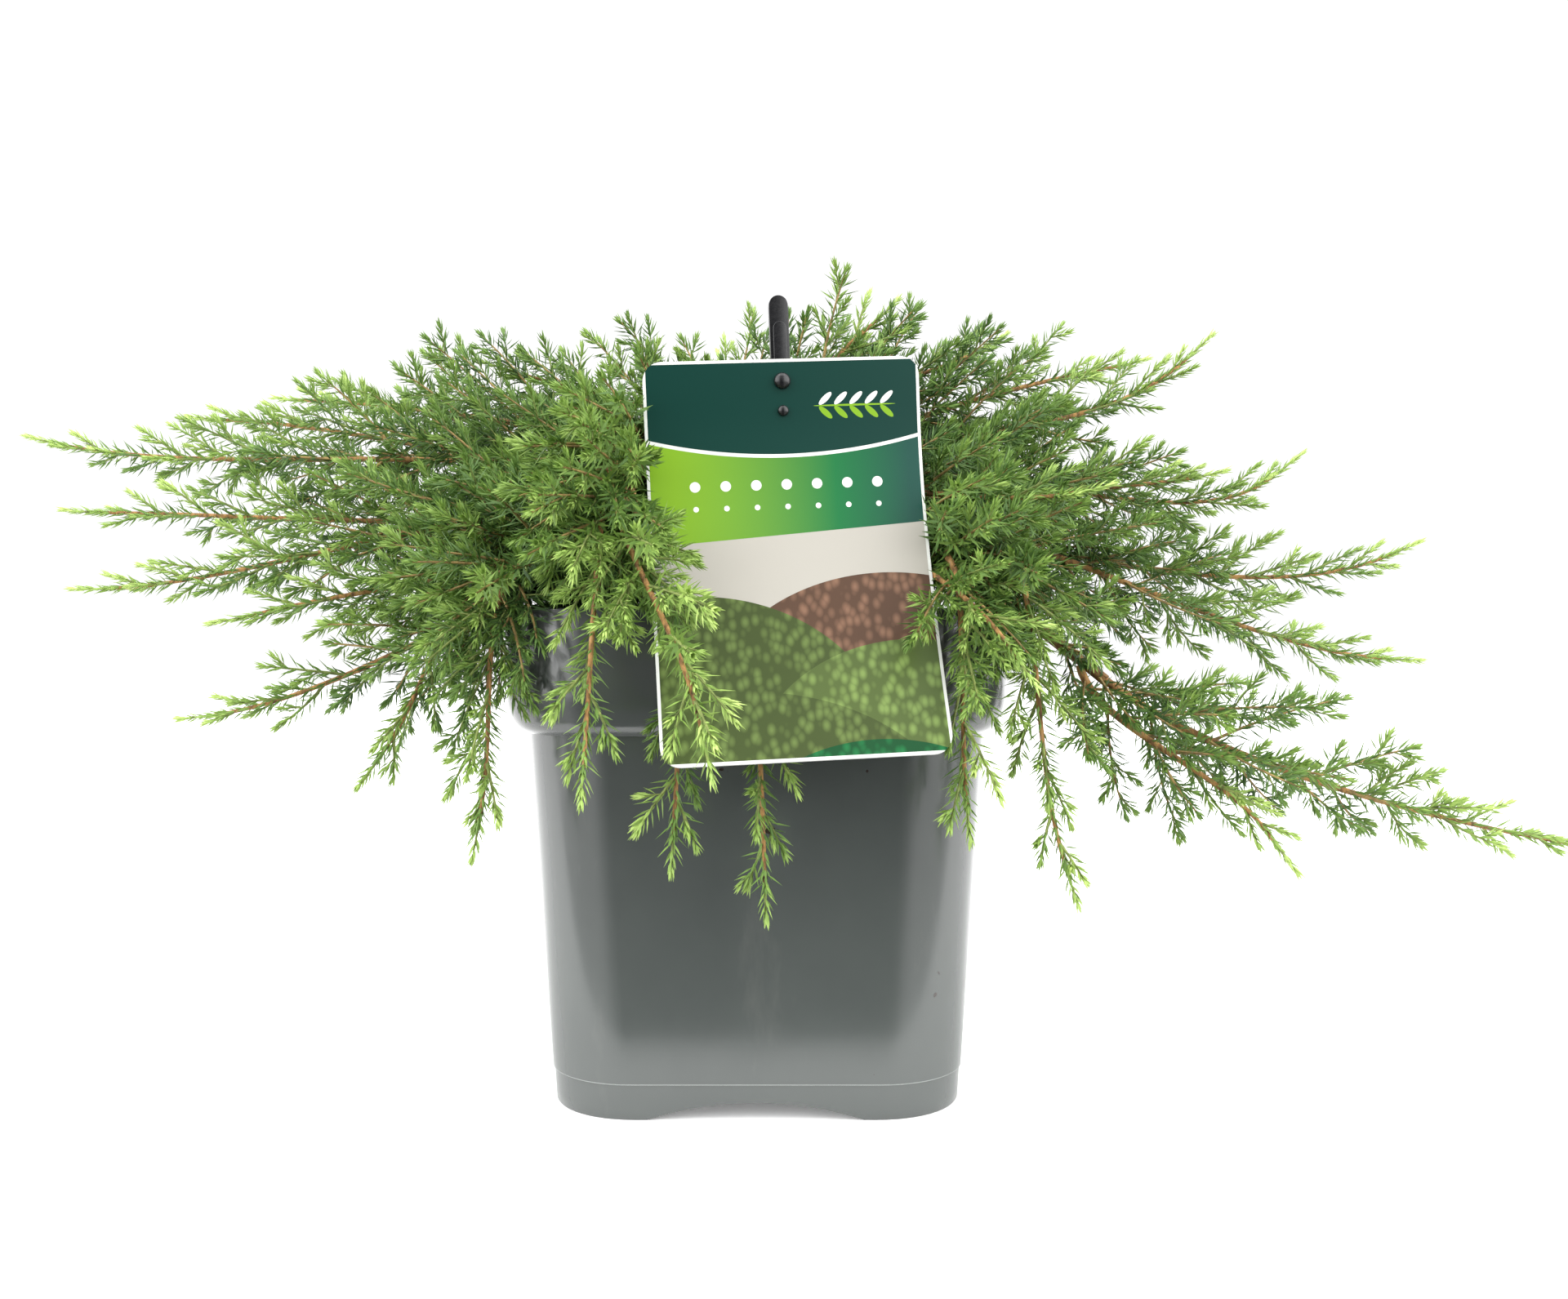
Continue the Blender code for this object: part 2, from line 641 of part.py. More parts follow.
def stem_start(mass, order, path, goal, clear):
    """Where a mass's stem starts on its way to a goal, and the direction in which it leaves."""
    if "start" in mass:
        leave = heading(mass["azimuth"], TRUNK_LEAVE)
        start = trunk_point(mass["start"] * MM)
        return start + heading(mass["azimuth"], 0) * (trunk_radius(start.z) + STEM_RADIUS + clear), leave
    along = (path[-1] - path[-2]).normalized()
    if order == 0:
        return path[-1] + along * clear, along
    near = path[-2].lerp(path[-1], (SIDE_SHARE[order] * (BOUGH_RINGS - 1)) % 1)
    away = goal - near
    out = (away - along * away.dot(along)).normalized()
    start = near + out * (bough_radius(SIDE_SHARE[order]) + clear)
    return start, along * math.cos(SIDE_LEAVE) + out * math.sin(SIDE_LEAVE)


def stem_curve(mass, order, path, clear):
    """The knots of a mass's stem, which starts so far clear of what carries it."""
    tip = polar(mass["azimuth"], mass["reach"] * MM, mass["height"] * MM)
    azimuth, reach, height = mass.get("via", (0, 0, 0))
    over = polar(azimuth, reach * MM, height * MM) if reach else tip
    start, leave = stem_start(mass, order, path, over, clear)
    knots = [(start, leave * (over - start).length * 0.8)]
    if reach:
        pull = min((over - start).length, (tip - over).length)
        knots.append((over, (tip - start).normalized() * pull))
    last = knots[-1][0]
    azimuth = math.degrees(math.atan2(tip.y - last.y, tip.x - last.x))
    return [*knots, (tip, heading(azimuth, mass["pitch"]) * (tip - last).length * 0.9)]


def curve_point(curve, share):
    """A point on a curve that is a list of knots, each a point and its pull."""
    spans = len(curve) - 1
    k = min(int(share * spans), spans - 1)
    return hermite(*curve[k], *curve[k + 1], share * spans - k)


def stem_frame(curve, share):
    """A point of the stem with its tangent, a level side and the direction above it."""
    ring = min(int(share * (STEM_RINGS - 1)), STEM_RINGS - 2)
    low, high = (curve_point(curve, (ring + k) / (STEM_RINGS - 1)) for k in (0, 1))
    here = low.lerp(high, share * (STEM_RINGS - 1) - ring)
    ahead = (curve_point(curve, min(share + 0.02, 1)) - curve_point(curve, max(share - 0.02, 0))).normalized()
    side = ahead.cross(UP)
    side = side.normalized() if side.length > 0.05 else ahead.orthogonal().normalized()
    return here, ahead, side, side.cross(ahead)


def side_shoots(mass, name, length):
    """The seeded rule for a stem's side shoots: share along it, turn round it, lean off it, and length."""
    draw = random.Random(name)
    count = round(length / SHOOT_SPACING)
    for i in range(count):
        share = 0.03 + 0.93 * (i + draw.uniform(0.2, 0.8)) / count
        turn = math.radians(SHOOT_TURN * i + draw.uniform(-25, 25))
        lean = math.radians(56 - 26 * share + draw.uniform(-7, 7))
        below = 0.86 + 0.14 * math.sin(turn)
        size = SHOOT_LENGTH * (1 - share) ** 0.8 * below * mass["full"] + SHOOT_TIP_LENGTH
        yield i, share, turn, lean, size * draw.uniform(0.8, 1.15), draw.uniform(-75, 75)


def shoot_heading(frame, turn, lean):
    """The direction of a side shoot."""
    _, ahead, side, above = frame
    out = side * math.cos(turn) + above * math.sin(turn)
    return (ahead * math.cos(lean) + out * math.sin(lean)).normalized()


def spray_points(start, direction, roll, length):
    """A toothed blade that stands for a spray of needles, as its points and its faces."""
    side = direction.cross(UP)
    side = side.normalized() if side.length > 0.05 else direction.orthogonal().normalized()
    side = Matrix.Rotation(math.radians(roll), 3, direction) @ side
    over = side.cross(direction)
    edge, ridge = next((edge, ridge) for shortest, edge, ridge in TEETH if length >= shortest)
    wide = length * SPRAY_WIDTH
    flat = [*edge, (1, 0), *[(s, -w) for s, w in reversed(edge)]]
    points = [start + direction * length * s + side * wide * w for s, w in flat]
    faces = []
    for sign in (1, -1):
        first = len(points)
        points += [start + direction * length * s + over * SPRAY_THICK / 2 * sign for s in ridge]
        fan = ridge_faces(len(ridge), len(flat), first)
        faces += fan if sign == 1 else [tuple(reversed(face)) for face in fan]
    return points, faces


def ridge_faces(pairs, count, first):
    """The faces of one side of a blade: each ridge point is joined to its own teeth, then to the next."""
    faces = [(first, count - 1, 0)]
    for k in range(pairs):
        near, far = 2 * k, 2 * k + 2
        ridge = first + k
        for i in range(near, far):
            faces.append((ridge, i, i + 1))
            faces.append((ridge, count - 2 - i, count - 1 - i))
        if k < pairs - 1:
            faces.append((ridge, far, ridge + 1))
            faces.append((ridge, ridge + 1, count - 1 - far))
    last, end = first + pairs - 1, 2 * pairs
    faces.append((last, end, end + 1))
    faces.append((last, end + 1, end + 2))
    return faces


def spray_plans(plan):
    """Every spray that the rule gives a mass, as (root, direction, roll, length)."""
    for i, share, turn, lean, size, roll in side_shoots(plan["mass"], plan["name"], plan["length"]):
        if i % KEPT_SHOOT == 0:
            frame = stem_frame(plan["curve"], share)
            yield frame[0], shoot_heading(frame, turn, lean), roll, size * SPRAY_GROWTH
    here, ahead, _, _ = stem_frame(plan["curve"], END_SPRAY_SHARE)
    yield here, ahead, 0, (1 - END_SPRAY_SHARE) * plan["length"] + END_SPRAY_PAST


def limb_points(path, radii, sides):
    """Points and faces of a limb."""
    mesh = limb("limb", path, radii, sides)
    points = [v.co.copy() for v in mesh.vertices]
    faces = [tuple(p.vertices) for p in mesh.polygons]
    bpy.data.meshes.remove(mesh)
    return points, faces


def tree_of(parts):
    """One search tree over many (points, faces)."""
    points, faces = [], []
    for some, joins in parts:
        first = len(points)
        points += some
        faces += [tuple(first + i for i in face) for face in joins]
    return BVHTree.FromPolygons(points, faces)


def solid_points(item):
    """World points and faces of an object as it is evaluated."""
    graph = bpy.context.evaluated_depsgraph_get()
    seen = item.evaluated_get(graph)
    mesh = seen.to_mesh()
    points = [seen.matrix_world @ v.co for v in mesh.vertices]
    faces = [tuple(p.vertices) for p in mesh.polygons]
    seen.to_mesh_clear()
    return points, faces


def grown(points, by):
    """The same points moved out from their middle, to test for a clearance."""
    middle = sum(points, Vector()) / len(points)
    return [p + (p - middle).normalized() * by for p in points]


def mass_plans(trunk, paths):
    """The name, stem and curve of each mass, its stem seated on its bough or on the trunk."""
    thin = STEM_TIP_RADIUS - STEM_RADIUS
    radii = [STEM_RADIUS + thin * i / (STEM_RINGS - 1) for i in range(STEM_RINGS)]
    seen_on = {}
    plans = []
    for number, mass in enumerate(MASSES, 1):
        place = mass.get("bough", "trunk")
        order = seen_on.get(place, 0)
        seen_on[place] = order + 1
        carrier = bpy.data.objects.get(f"bough_{place}", trunk)
        bough = paths.get(place)

        def route(clear, share):
            return curve_point(stem_curve(mass, order, bough, clear), share)

        path, clear = seat(route, radii, STEM_SIDES, carrier)
        plans.append(dict(
            name=f"foliage_{number:02d}_{place}",
            mass=mass,
            curve=stem_curve(mass, order, bough, clear),
            length=sum((b - a).length for a, b in zip(path, path[1:])),
            stem=limb_points(path, radii, STEM_SIDES),
        ))
    return plans


def build_masses(finish, limbs, plans):
    """All the masses. A spray that would touch a limb or another mass is made shorter, or skipped."""
    fixed = [solid_points(item) for item in limbs]
    taken = {plan["name"]: [plan["stem"]] for plan in plans}
    for plan in plans:
        others = [part for name, parts in taken.items() if name != plan["name"] for part in parts]
        tree = tree_of(fixed + others)
        kept = taken[plan["name"]]
        for root, direction, roll, size in spray_plans(plan):
            for share in SPRAY_SHORTER:
                points, faces = spray_points(root, direction, roll, size * share)
                if not tree_of([(grown(points, SPRAY_CLEAR), faces)]).overlap(tree):
                    kept.append((points, faces))
                    break
        join_mass(plan["name"], kept, finish)


def join_mass(name, parts, finish):
    """Fuses a stem and its sprays into one closed body."""
    stem = add_object(name, mesh_of(name, *parts[0]), finish)
    others = []
    for points, faces in parts[1:]:
        piece = bpy.data.objects.new("spray", mesh_of("spray", points, faces))
        bpy.context.scene.collection.objects.link(piece)
        others.append(piece)
    fuse(stem, others, "EXACT")
    return stem


def main():
    clear_scene()
    grey = material("grey_green_plastic", (0.165, 0.185, 0.178), 0.38)
    mix = material("potting_mix", (0.035, 0.022, 0.014), 0.95)
    bark = material("juniper_bark", (0.27, 0.13, 0.055), 0.85)
    needles = material("juniper_needles", (0.13, 0.24, 0.055), 0.6)
    black = material("black_plastic", (0.018, 0.018, 0.02), 0.35)
    card_stock = material("label_card_stock", (0.26, 0.48, 0.09), 0.3)

    holder_frame = bpy.data.objects.new("label_frame", None)
    holder_frame.location = KNOB_PLACE
    turns = (math.radians(LABEL_LEAN), math.radians(LABEL_ROLL), math.radians(LABEL_YAW))
    holder_frame.rotation_euler = turns
    bpy.context.scene.collection.objects.link(holder_frame)

    pot = build_pot(grey)
    soil = build_soil(mix, holder_frame)
    card = build_card(card_stock, holder_frame)
    holder = build_holder(black, holder_frame)
    trunk = build_trunk(bark)
    bpy.context.view_layer.update()
    boughs, paths = build_boughs(bark, trunk)
    plans = mass_plans(trunk, paths)
    bpy.context.view_layer.update()
    build_masses(needles, [pot, soil, card, holder, trunk, *boughs], plans)


main()
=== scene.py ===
# A low, spreading juniper in a square nursery pot, with a plant card on its black holder.
# Metres, +Z up. The origin is the middle of the pot's underside, and the card faces -Y.
import math
import random

import bmesh
import bpy
import numpy as np
from mathutils import Euler, Matrix, Vector, noise
from mathutils.bvhtree import BVHTree


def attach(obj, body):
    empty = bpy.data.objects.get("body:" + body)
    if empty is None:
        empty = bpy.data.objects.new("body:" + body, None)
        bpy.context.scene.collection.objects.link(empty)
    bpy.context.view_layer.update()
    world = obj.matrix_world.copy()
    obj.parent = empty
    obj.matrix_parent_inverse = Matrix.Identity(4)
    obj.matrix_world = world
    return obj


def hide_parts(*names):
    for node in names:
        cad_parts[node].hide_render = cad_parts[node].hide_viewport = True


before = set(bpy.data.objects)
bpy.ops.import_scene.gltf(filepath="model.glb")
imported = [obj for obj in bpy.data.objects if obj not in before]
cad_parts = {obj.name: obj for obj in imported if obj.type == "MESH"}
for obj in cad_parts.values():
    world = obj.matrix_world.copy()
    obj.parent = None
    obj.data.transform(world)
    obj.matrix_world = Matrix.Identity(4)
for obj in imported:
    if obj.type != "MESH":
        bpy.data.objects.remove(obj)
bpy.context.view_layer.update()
mm = 0.001
up = Vector((0, 0, 1))
scene = bpy.context.scene
foliageNodes = sorted(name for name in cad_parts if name.startswith("foliage_"))
boughNodes = sorted(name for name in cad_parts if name.startswith("bough_"))

# Helpers for pieces and materials


def link(item):
    scene.collection.objects.link(item)
    return item


def finishPiece(name, mesh, materials, nodes, smooth=None):
    item = link(bpy.data.objects.new(name, mesh))
    mesh.materials.clear()
    for finish in materials:
        mesh.materials.append(finish)
    if smooth:
        mesh.shade_smooth()
        mesh.set_sharp_from_angle(angle=math.radians(smooth))
    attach(item, "root")
    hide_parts(*nodes)
    return item


def meshOf(name, points, faces):
    work = bmesh.new()
    corners = [work.verts.new(p) for p in points]
    for face in faces:
        work.faces.new([corners[i] for i in face])
    bmesh.ops.recalc_face_normals(work, faces=work.faces)
    made = bpy.data.meshes.new(name)
    work.to_mesh(made)
    work.free()
    return made


def ringFaces(rings, count):
    faces = []
    for r in range(rings - 1):
        for i in range(count):
            j = (i + 1) % count
            low, high = r * count, (r + 1) * count
            faces.append((low + i, low + j, high + j, high + i))
    faces.append(tuple(reversed(range(count))))
    faces.append(tuple(range((rings - 1) * count, rings * count)))
    return faces


def applied(item):
    # the mesh as its modifiers leave it
    graph = bpy.context.evaluated_depsgraph_get()
    made = bpy.data.meshes.new_from_object(item.evaluated_get(graph))
    item.modifiers.clear()
    return made


def newMaterial(name, colour, roughness):
    finish = bpy.data.materials.new(name)
    finish.use_nodes = True
    shader = finish.node_tree.nodes["Principled BSDF"]
    shader.inputs["Base Color"].default_value = (*colour, 1)
    shader.inputs["Roughness"].default_value = roughness
    return finish, finish.node_tree, shader


def feed(tree, node, socket, value):
    if hasattr(value, "is_output"):
        tree.links.new(value, node.inputs[socket])
    elif isinstance(value, tuple):
        node.inputs[socket].default_value = (*value, 1) if len(value) == 3 else value
    else:
        node.inputs[socket].default_value = value


def objectPattern(tree, kind, scale, stretch=(1, 1, 1), **values):
    # a noise or voronoi node on object coordinates
    place = tree.nodes.new("ShaderNodeTexCoord")
    mapping = tree.nodes.new("ShaderNodeMapping")
    mapping.inputs["Scale"].default_value = stretch
    pattern = tree.nodes.new(kind)
    tree.links.new(place.outputs["Object"], mapping.inputs["Vector"])
    tree.links.new(mapping.outputs["Vector"], pattern.inputs["Vector"])
    pattern.inputs["Scale"].default_value = scale
    for name, value in values.items():
        pattern.inputs[name.capitalize()].default_value = value
    return pattern


def ramp(tree, value, stops):
    node = tree.nodes.new("ShaderNodeValToRGB")
    tree.links.new(value, node.inputs["Fac"])
    while len(node.color_ramp.elements) < len(stops):
        node.color_ramp.elements.new(0.5)
    for element, (place, colour) in zip(node.color_ramp.elements, stops):
        element.position = place
        element.color = (*colour, 1) if isinstance(colour, tuple) else (colour, colour, colour, 1)
    return node.outputs["Color"]


def blend(tree, factor, below, above, mode="MIX"):
    node = tree.nodes.new("ShaderNodeMix")
    node.data_type = "RGBA"
    node.blend_type = mode
    feed(tree, node, 0, factor)
    feed(tree, node, 6, below)
    feed(tree, node, 7, above)
    return node.outputs[2]


def calc(tree, operation, a, b=0.0):
    node = tree.nodes.new("ShaderNodeMath")
    node.operation = operation
    feed(tree, node, 0, a)
    feed(tree, node, 1, b)
    return node.outputs[0]


def mapped(tree, value, low, high, bottom, top):
    # a number taken from one range to another, held at its ends
    node = tree.nodes.new("ShaderNodeMapRange")
    feed(tree, node, "Value", value)
    for socket, number in (("From Min", low), ("From Max", high), ("To Min", bottom), ("To Max", top)):
        node.inputs[socket].default_value = number
    return node.outputs["Result"]


def addBump(tree, shader, height, strength, distance):
    bump = tree.nodes.new("ShaderNodeBump")
    bump.inputs["Strength"].default_value = strength
    bump.inputs["Distance"].default_value = distance
    tree.links.new(height, bump.inputs["Height"])
    tree.links.new(bump.outputs["Normal"], shader.inputs["Normal"])


# Camera and studio


camera = dict(lens=32.29, sensor=36, place=(0.0105, -0.601, 0.175))
lensData = bpy.data.cameras.new("camera")
lensData.lens = camera["lens"]
lensData.sensor_width = camera["sensor"]
lensData.clip_start = 0.01
cameraItem = link(bpy.data.objects.new("camera", lensData))
cameraItem.location = camera["place"]
cameraItem.rotation_euler = (math.pi / 2, 0, 0)
scene.camera = cameraItem

# a white room with a panel on each side; it is dim behind the camera, so the pot's flat front stays dark
studio = dict(
    whiteLight=1.1, wallLight=0.8, underFrom=-0.15, underTo=-0.02, underShare=0.25,
    dimLight=0.2, dimFrom=0.87, dimTo=0.97, sideGlow=3.4, sideFrom=0.22, sideTo=0.5,
    frontFull=0.3, frontEnd=0.2, backShare=0.4,
    panelOut=1.25, panelBack=-0.35, panelWide=1.0, panelTall=1.3, panelHigh=0.45, leftGlow=0.9, rightGlow=0.7,
    topHigh=1.5, topWide=1.2, topPlace=(0.0, -0.35), topGlow=2.4,
    floorSize=6.0, floorFront=-0.15, floorGlow=0.16, floorColour=(0.93, 0.93, 0.93),
    aim=(0, 0, 0.2),
)


def addPanel(name, place, aim, wide, tall, glow):
    light = bpy.data.lights.new(name, "AREA")
    light.shape = "RECTANGLE"
    light.size = wide
    light.size_y = tall
    light.energy = glow * math.pi * wide * tall  # so that the panel is this many times as bright as white
    item = link(bpy.data.objects.new(name, light))
    item.location = place
    item.rotation_euler = (Vector(aim) - Vector(place)).to_track_quat("-Z", "Y").to_euler()
    item.visible_camera = False
    return item


def buildStudio(look):
    wide, tall, high, back = look["panelWide"], look["panelTall"], look["panelHigh"], look["panelBack"]
    for name, side, glow in (("panel_left", -1, look["leftGlow"]), ("panel_right", 1, look["rightGlow"])):
        addPanel(name, (side * look["panelOut"], back, high), look["aim"], wide, tall, glow)
    top = look["topWide"]
    addPanel("panel_top", (*look["topPlace"], look["topHigh"]), look["aim"], top, top, look["topGlow"])
    world = bpy.data.worlds.new("studio")
    world.use_nodes = True
    tree = world.node_tree
    sky = tree.nodes["Background"]
    sky.inputs["Color"].default_value = (1, 1, 1, 1)
    place = tree.nodes.new("ShaderNodeTexCoord")
    split = tree.nodes.new("ShaderNodeSeparateXYZ")
    tree.links.new(place.outputs["Generated"], split.inputs[0])
    ahead = split.outputs["Y"]
    dim = mapped(tree, ahead, -look["dimTo"], -look["dimFrom"], look["dimLight"], look["wallLight"])
    # the walls on both sides are brighter, most of all in front, which the pot's round corners show
    sideways = calc(tree, "ABSOLUTE", split.outputs["X"])
    walls = mapped(tree, sideways, look["sideFrom"], look["sideTo"], 0, look["sideGlow"])
    front = mapped(tree, ahead, -look["frontFull"], look["frontEnd"], 1, look["backShare"])
    strength = calc(tree, "ADD", dim, calc(tree, "MULTIPLY", walls, front))
    under = mapped(tree, split.outputs["Z"], look["underFrom"], look["underTo"], look["underShare"], 1)
    strength = calc(tree, "MULTIPLY", strength, under)
    seen = tree.nodes.new("ShaderNodeLightPath")
    lit = tree.nodes.new("ShaderNodeMix")
    lit.inputs[3].default_value = look["whiteLight"]  # what the camera sees is white all round
    tree.links.new(seen.outputs["Is Camera Ray"], lit.inputs[0])
    tree.links.new(strength, lit.inputs[2])
    tree.links.new(lit.outputs[0], sky.inputs["Strength"])
    scene.world = world
    scene.view_settings.view_transform = "Standard"
    scene.view_settings.look = "None"


def buildFloor(look):
    # it ends just below the camera's view, so the pot's front reflects the dim side of the room
    half, near = look["floorSize"], look["floorFront"]
    mesh = bpy.data.meshes.new("floor")
    corners = [(-half, near, 0), (half, near, 0), (half, half, 0), (-half, half, 0)]
    mesh.from_pydata(corners, [], [(0, 1, 2, 3)])
    floor = link(bpy.data.objects.new("floor", mesh))
    finish, _, shader = newMaterial("floorPaper", look["floorColour"], 0.9)
    shader.inputs["Emission Color"].default_value = (1, 1, 1, 1)
    shader.inputs["Emission Strength"].default_value = look["floorGlow"]
    mesh.materials.append(finish)


buildStudio(studio)
buildFloor(studio)
print("studio and camera")

# Pot

potShape = dict(
    halfFoot=78.6 * mm, halfBody=87.5 * mm, halfCollar=95.0 * mm, halfRim=95.8 * mm, height=190 * mm,
    wall=2.0 * mm, corner=33 * mm, footBand=13.3 * mm, footStep=0.5 * mm, collarBottom=143.5 * mm,
    shoulder=14.5 * mm, floorTop=8.6 * mm, archWidth=82 * mm, archHeight=6.6 * mm, footPad=28 * mm,
    drainRadius=5 * mm, drainOut=52 * mm, cornerSteps=14,
)
# the pale grey for the moulded line round the foot is a painted highlight
potLook = dict(
    colour=(0.05, 0.057, 0.054), pale=(0.057, 0.065, 0.061), line=(0.2, 0.215, 0.205),
    dust=(0.13, 0.13, 0.12), soilMark=(0.02, 0.013, 0.009), roughness=(0.16, 0.24), gloss=1.0,
    cloudScale=14, crumbScale=95, hazeScale=40, grainScale=1500, lineHigh=13.45 * mm, lineHalf=0.28 * mm,
)


def potPlastic(look):
    finish, tree, shader = newMaterial("potPlastic", look["colour"], 0.25)
    cloud = objectPattern(tree, "ShaderNodeTexNoise", look["cloudScale"], detail=4, roughness=0.6)
    clouded = ramp(tree, cloud.outputs["Fac"], ((0.35, 0.0), (0.7, 1.0)))
    mixed = blend(tree, clouded, look["colour"], look["pale"])
    # a little dust low down and few crumbs of soil
    spots = objectPattern(tree, "ShaderNodeTexNoise", look["crumbScale"], detail=2, roughness=0.5)
    crumbs = ramp(tree, spots.outputs["Fac"], ((0.752, 0.0), (0.762, 1.0)))
    mixed = blend(tree, crumbs, mixed, look["soilMark"])
    streak = (1, 1, 0.25)
    haze = objectPattern(tree, "ShaderNodeTexNoise", look["hazeScale"], streak, detail=5, roughness=0.7)
    mixed = blend(tree, ramp(tree, haze.outputs["Fac"], ((0.6, 0.0), (0.9, 0.35))), mixed, look["dust"])
    # a painted highlight: a thin lighter band of colour along the moulded line round the foot
    place = tree.nodes.new("ShaderNodeTexCoord")
    split = tree.nodes.new("ShaderNodeSeparateXYZ")
    tree.links.new(place.outputs["Object"], split.inputs[0])
    off = calc(tree, "ABSOLUTE", calc(tree, "SUBTRACT", split.outputs["Z"], look["lineHigh"]))
    mixed = blend(tree, calc(tree, "LESS_THAN", off, look["lineHalf"]), mixed, look["line"])
    tree.links.new(mixed, shader.inputs["Base Color"])
    sheen = ramp(tree, haze.outputs["Fac"], ((0.3, look["roughness"][0]), (0.75, look["roughness"][1])))
    tree.links.new(sheen, shader.inputs["Roughness"])
    shader.inputs["Specular IOR Level"].default_value = look["gloss"]
    grain = objectPattern(tree, "ShaderNodeTexNoise", look["grainScale"], detail=2)
    addBump(tree, shader, grain.outputs["Fac"], 0.12, 0.0001)
    return finish


def squareRing(half, radius, height, steps):
    points = []
    for corner in range(4):
        turn = corner * math.pi / 2
        middle = Matrix.Rotation(turn, 3, "Z") @ Vector((half - radius, half - radius, 0))
        for step in range(steps + 1):
            angle = turn + step / steps * math.pi / 2
            points.append(middle + Vector((math.cos(angle) * radius, math.sin(angle) * radius, height)))
    return points


def bodyHalf(p, height):
    low = p["halfFoot"] + 1.2 * mm
    return low + (p["halfBody"] - low) * (height - p["footBand"]) / (p["collarBottom"] - p["footBand"])


def potProfile(p):
    # half width and height, up the outside, over the rim and down the inside
    band, bottom = p["footBand"], p["collarBottom"]
    outer = [(p["halfFoot"] - 0.8 * mm, 0), (p["halfFoot"] - 0.25 * mm, 0.2 * mm), (p["halfFoot"], 0.8 * mm)]
    start = bodyHalf(p, band)
    outer += [(p["halfFoot"] + (start - p["footStep"] - p["halfFoot"]) * s, 0.8 * mm + (band - 0.8 * mm) * s)
              for s in (0.3, 0.6, 1)]
    outer += [(start, band + 0.25 * mm), (start, band + 0.6 * mm)]
    outer += [(bodyHalf(p, h * mm), h * mm) for h in (30, 60, 90, 120, 140)]
    outer += [(p["halfBody"], bottom), (p["halfBody"] + 0.9 * mm, bottom - 0.25 * mm)]
    rise = p["halfCollar"] - p["halfBody"]
    for i in range(2, 13):
        angle = i / 12 * math.pi / 2
        outer.append((p["halfBody"] + rise * math.sin(angle), bottom + p["shoulder"] * (1 - math.cos(angle))))
    lip = p["wall"] / 2
    outer.append((p["halfRim"], p["height"] - lip))
    for i in range(1, 7):
        angle = i / 6 * math.pi
        outer.append((p["halfRim"] - lip + lip * math.cos(angle), p["height"] - lip + lip * math.sin(angle)))
    wall = p["wall"]
    inner = [
        (p["halfCollar"] - wall, bottom + p["shoulder"] + 2 * mm),
        (p["halfBody"] - wall, bottom + 2 * mm),
        (p["halfFoot"] - wall, p["floorTop"]),
    ]
    return outer, inner


def cutterItem(name, points, rings, count, turn):
    cutter = link(bpy.data.objects.new(name, meshOf(name, points, ringFaces(rings, count))))
    cutter.rotation_euler.z = turn
    return cutter


def potCutters(p):
    half = p["archWidth"] / 2
    radius = (half**2 + p["archHeight"] ** 2) / (2 * p["archHeight"])
    reach = math.acos((radius - p["archHeight"] - 3 * mm) / radius)
    steps, count = 28, 28
    cutters = []
    for side in range(4):
        points = []
        for out in (p["footPad"], p["halfRim"]):
            for i in range(steps + 1):
                angle = reach * (1 - 2 * i / steps)
                x, z = radius * math.sin(angle), p["archHeight"] + radius * (math.cos(angle) - 1)
                points.append(Vector((x, -out, z)))
        cutters.append(cutterItem(f"arch_{side}", points, 2, steps + 1, side * math.pi / 2))
        points = []
        for height in (-2 * mm, p["floorTop"] + 2 * mm):
            for i in range(count):
                angle = 2 * math.pi * i / count
                spot = Vector((math.cos(angle), math.sin(angle), 0)) * p["drainRadius"]
                points.append(spot + Vector((0, -p["drainOut"], height)))
        cutters.append(cutterItem(f"drain_{side}", points, 2, count, side * math.pi / 2))
    return cutters


def buildPot(p, look):
    outer, inner = potProfile(p)
    points = []
    for half, height in outer:
        points += squareRing(half, p["corner"], height, p["cornerSteps"])
    for half, height in inner:
        points += squareRing(half, p["corner"] - p["wall"], height, p["cornerSteps"])
    shell = meshOf("pot_shell", points, ringFaces(len(outer) + len(inner), 4 * (p["cornerSteps"] + 1)))
    work = link(bpy.data.objects.new("pot_work", shell))
    cutters = potCutters(p)
    group = bpy.data.collections.new("potCutters")
    scene.collection.children.link(group)
    for cutter in cutters:
        scene.collection.objects.unlink(cutter)
        group.objects.link(cutter)
    holes = work.modifiers.new("holes", "BOOLEAN")
    holes.operand_type = "COLLECTION"
    holes.collection = group
    holes.solver = "EXACT"
    mesh = applied(work)
    for item in (work, *cutters):
        bpy.data.objects.remove(item)
    bpy.data.collections.remove(group)
    return finishPiece("pot_skin", mesh, [potPlastic(look)], ["pot"], smooth=32)


buildPot(potShape, potLook)
print("pot")

# Potting mix

mixShape = dict(
    edge=174 * mm, crown=178 * mm, cells=64, rough=1.5 * mm,
    crumbs=1500, crumbSize=(0.9 * mm, 2.6 * mm), seed=21,
)
mixLook = dict(dark=(0.012, 0.008, 0.006), brown=(0.05, 0.03, 0.018), fibre=(0.11, 0.075, 0.045))


def pottingMix(look):
    finish, tree, shader = newMaterial("pottingMix", look["brown"], 0.95)
    grains = objectPattern(tree, "ShaderNodeTexNoise", 330, detail=6, roughness=0.7)
    stops = ((0.32, look["dark"]), (0.52, look["brown"]), (0.72, look["fibre"]))
    tree.links.new(ramp(tree, grains.outputs["Fac"], stops), shader.inputs["Base Color"])
    addBump(tree, shader, grains.outputs["Fac"], 0.7, 0.0012)
    return finish


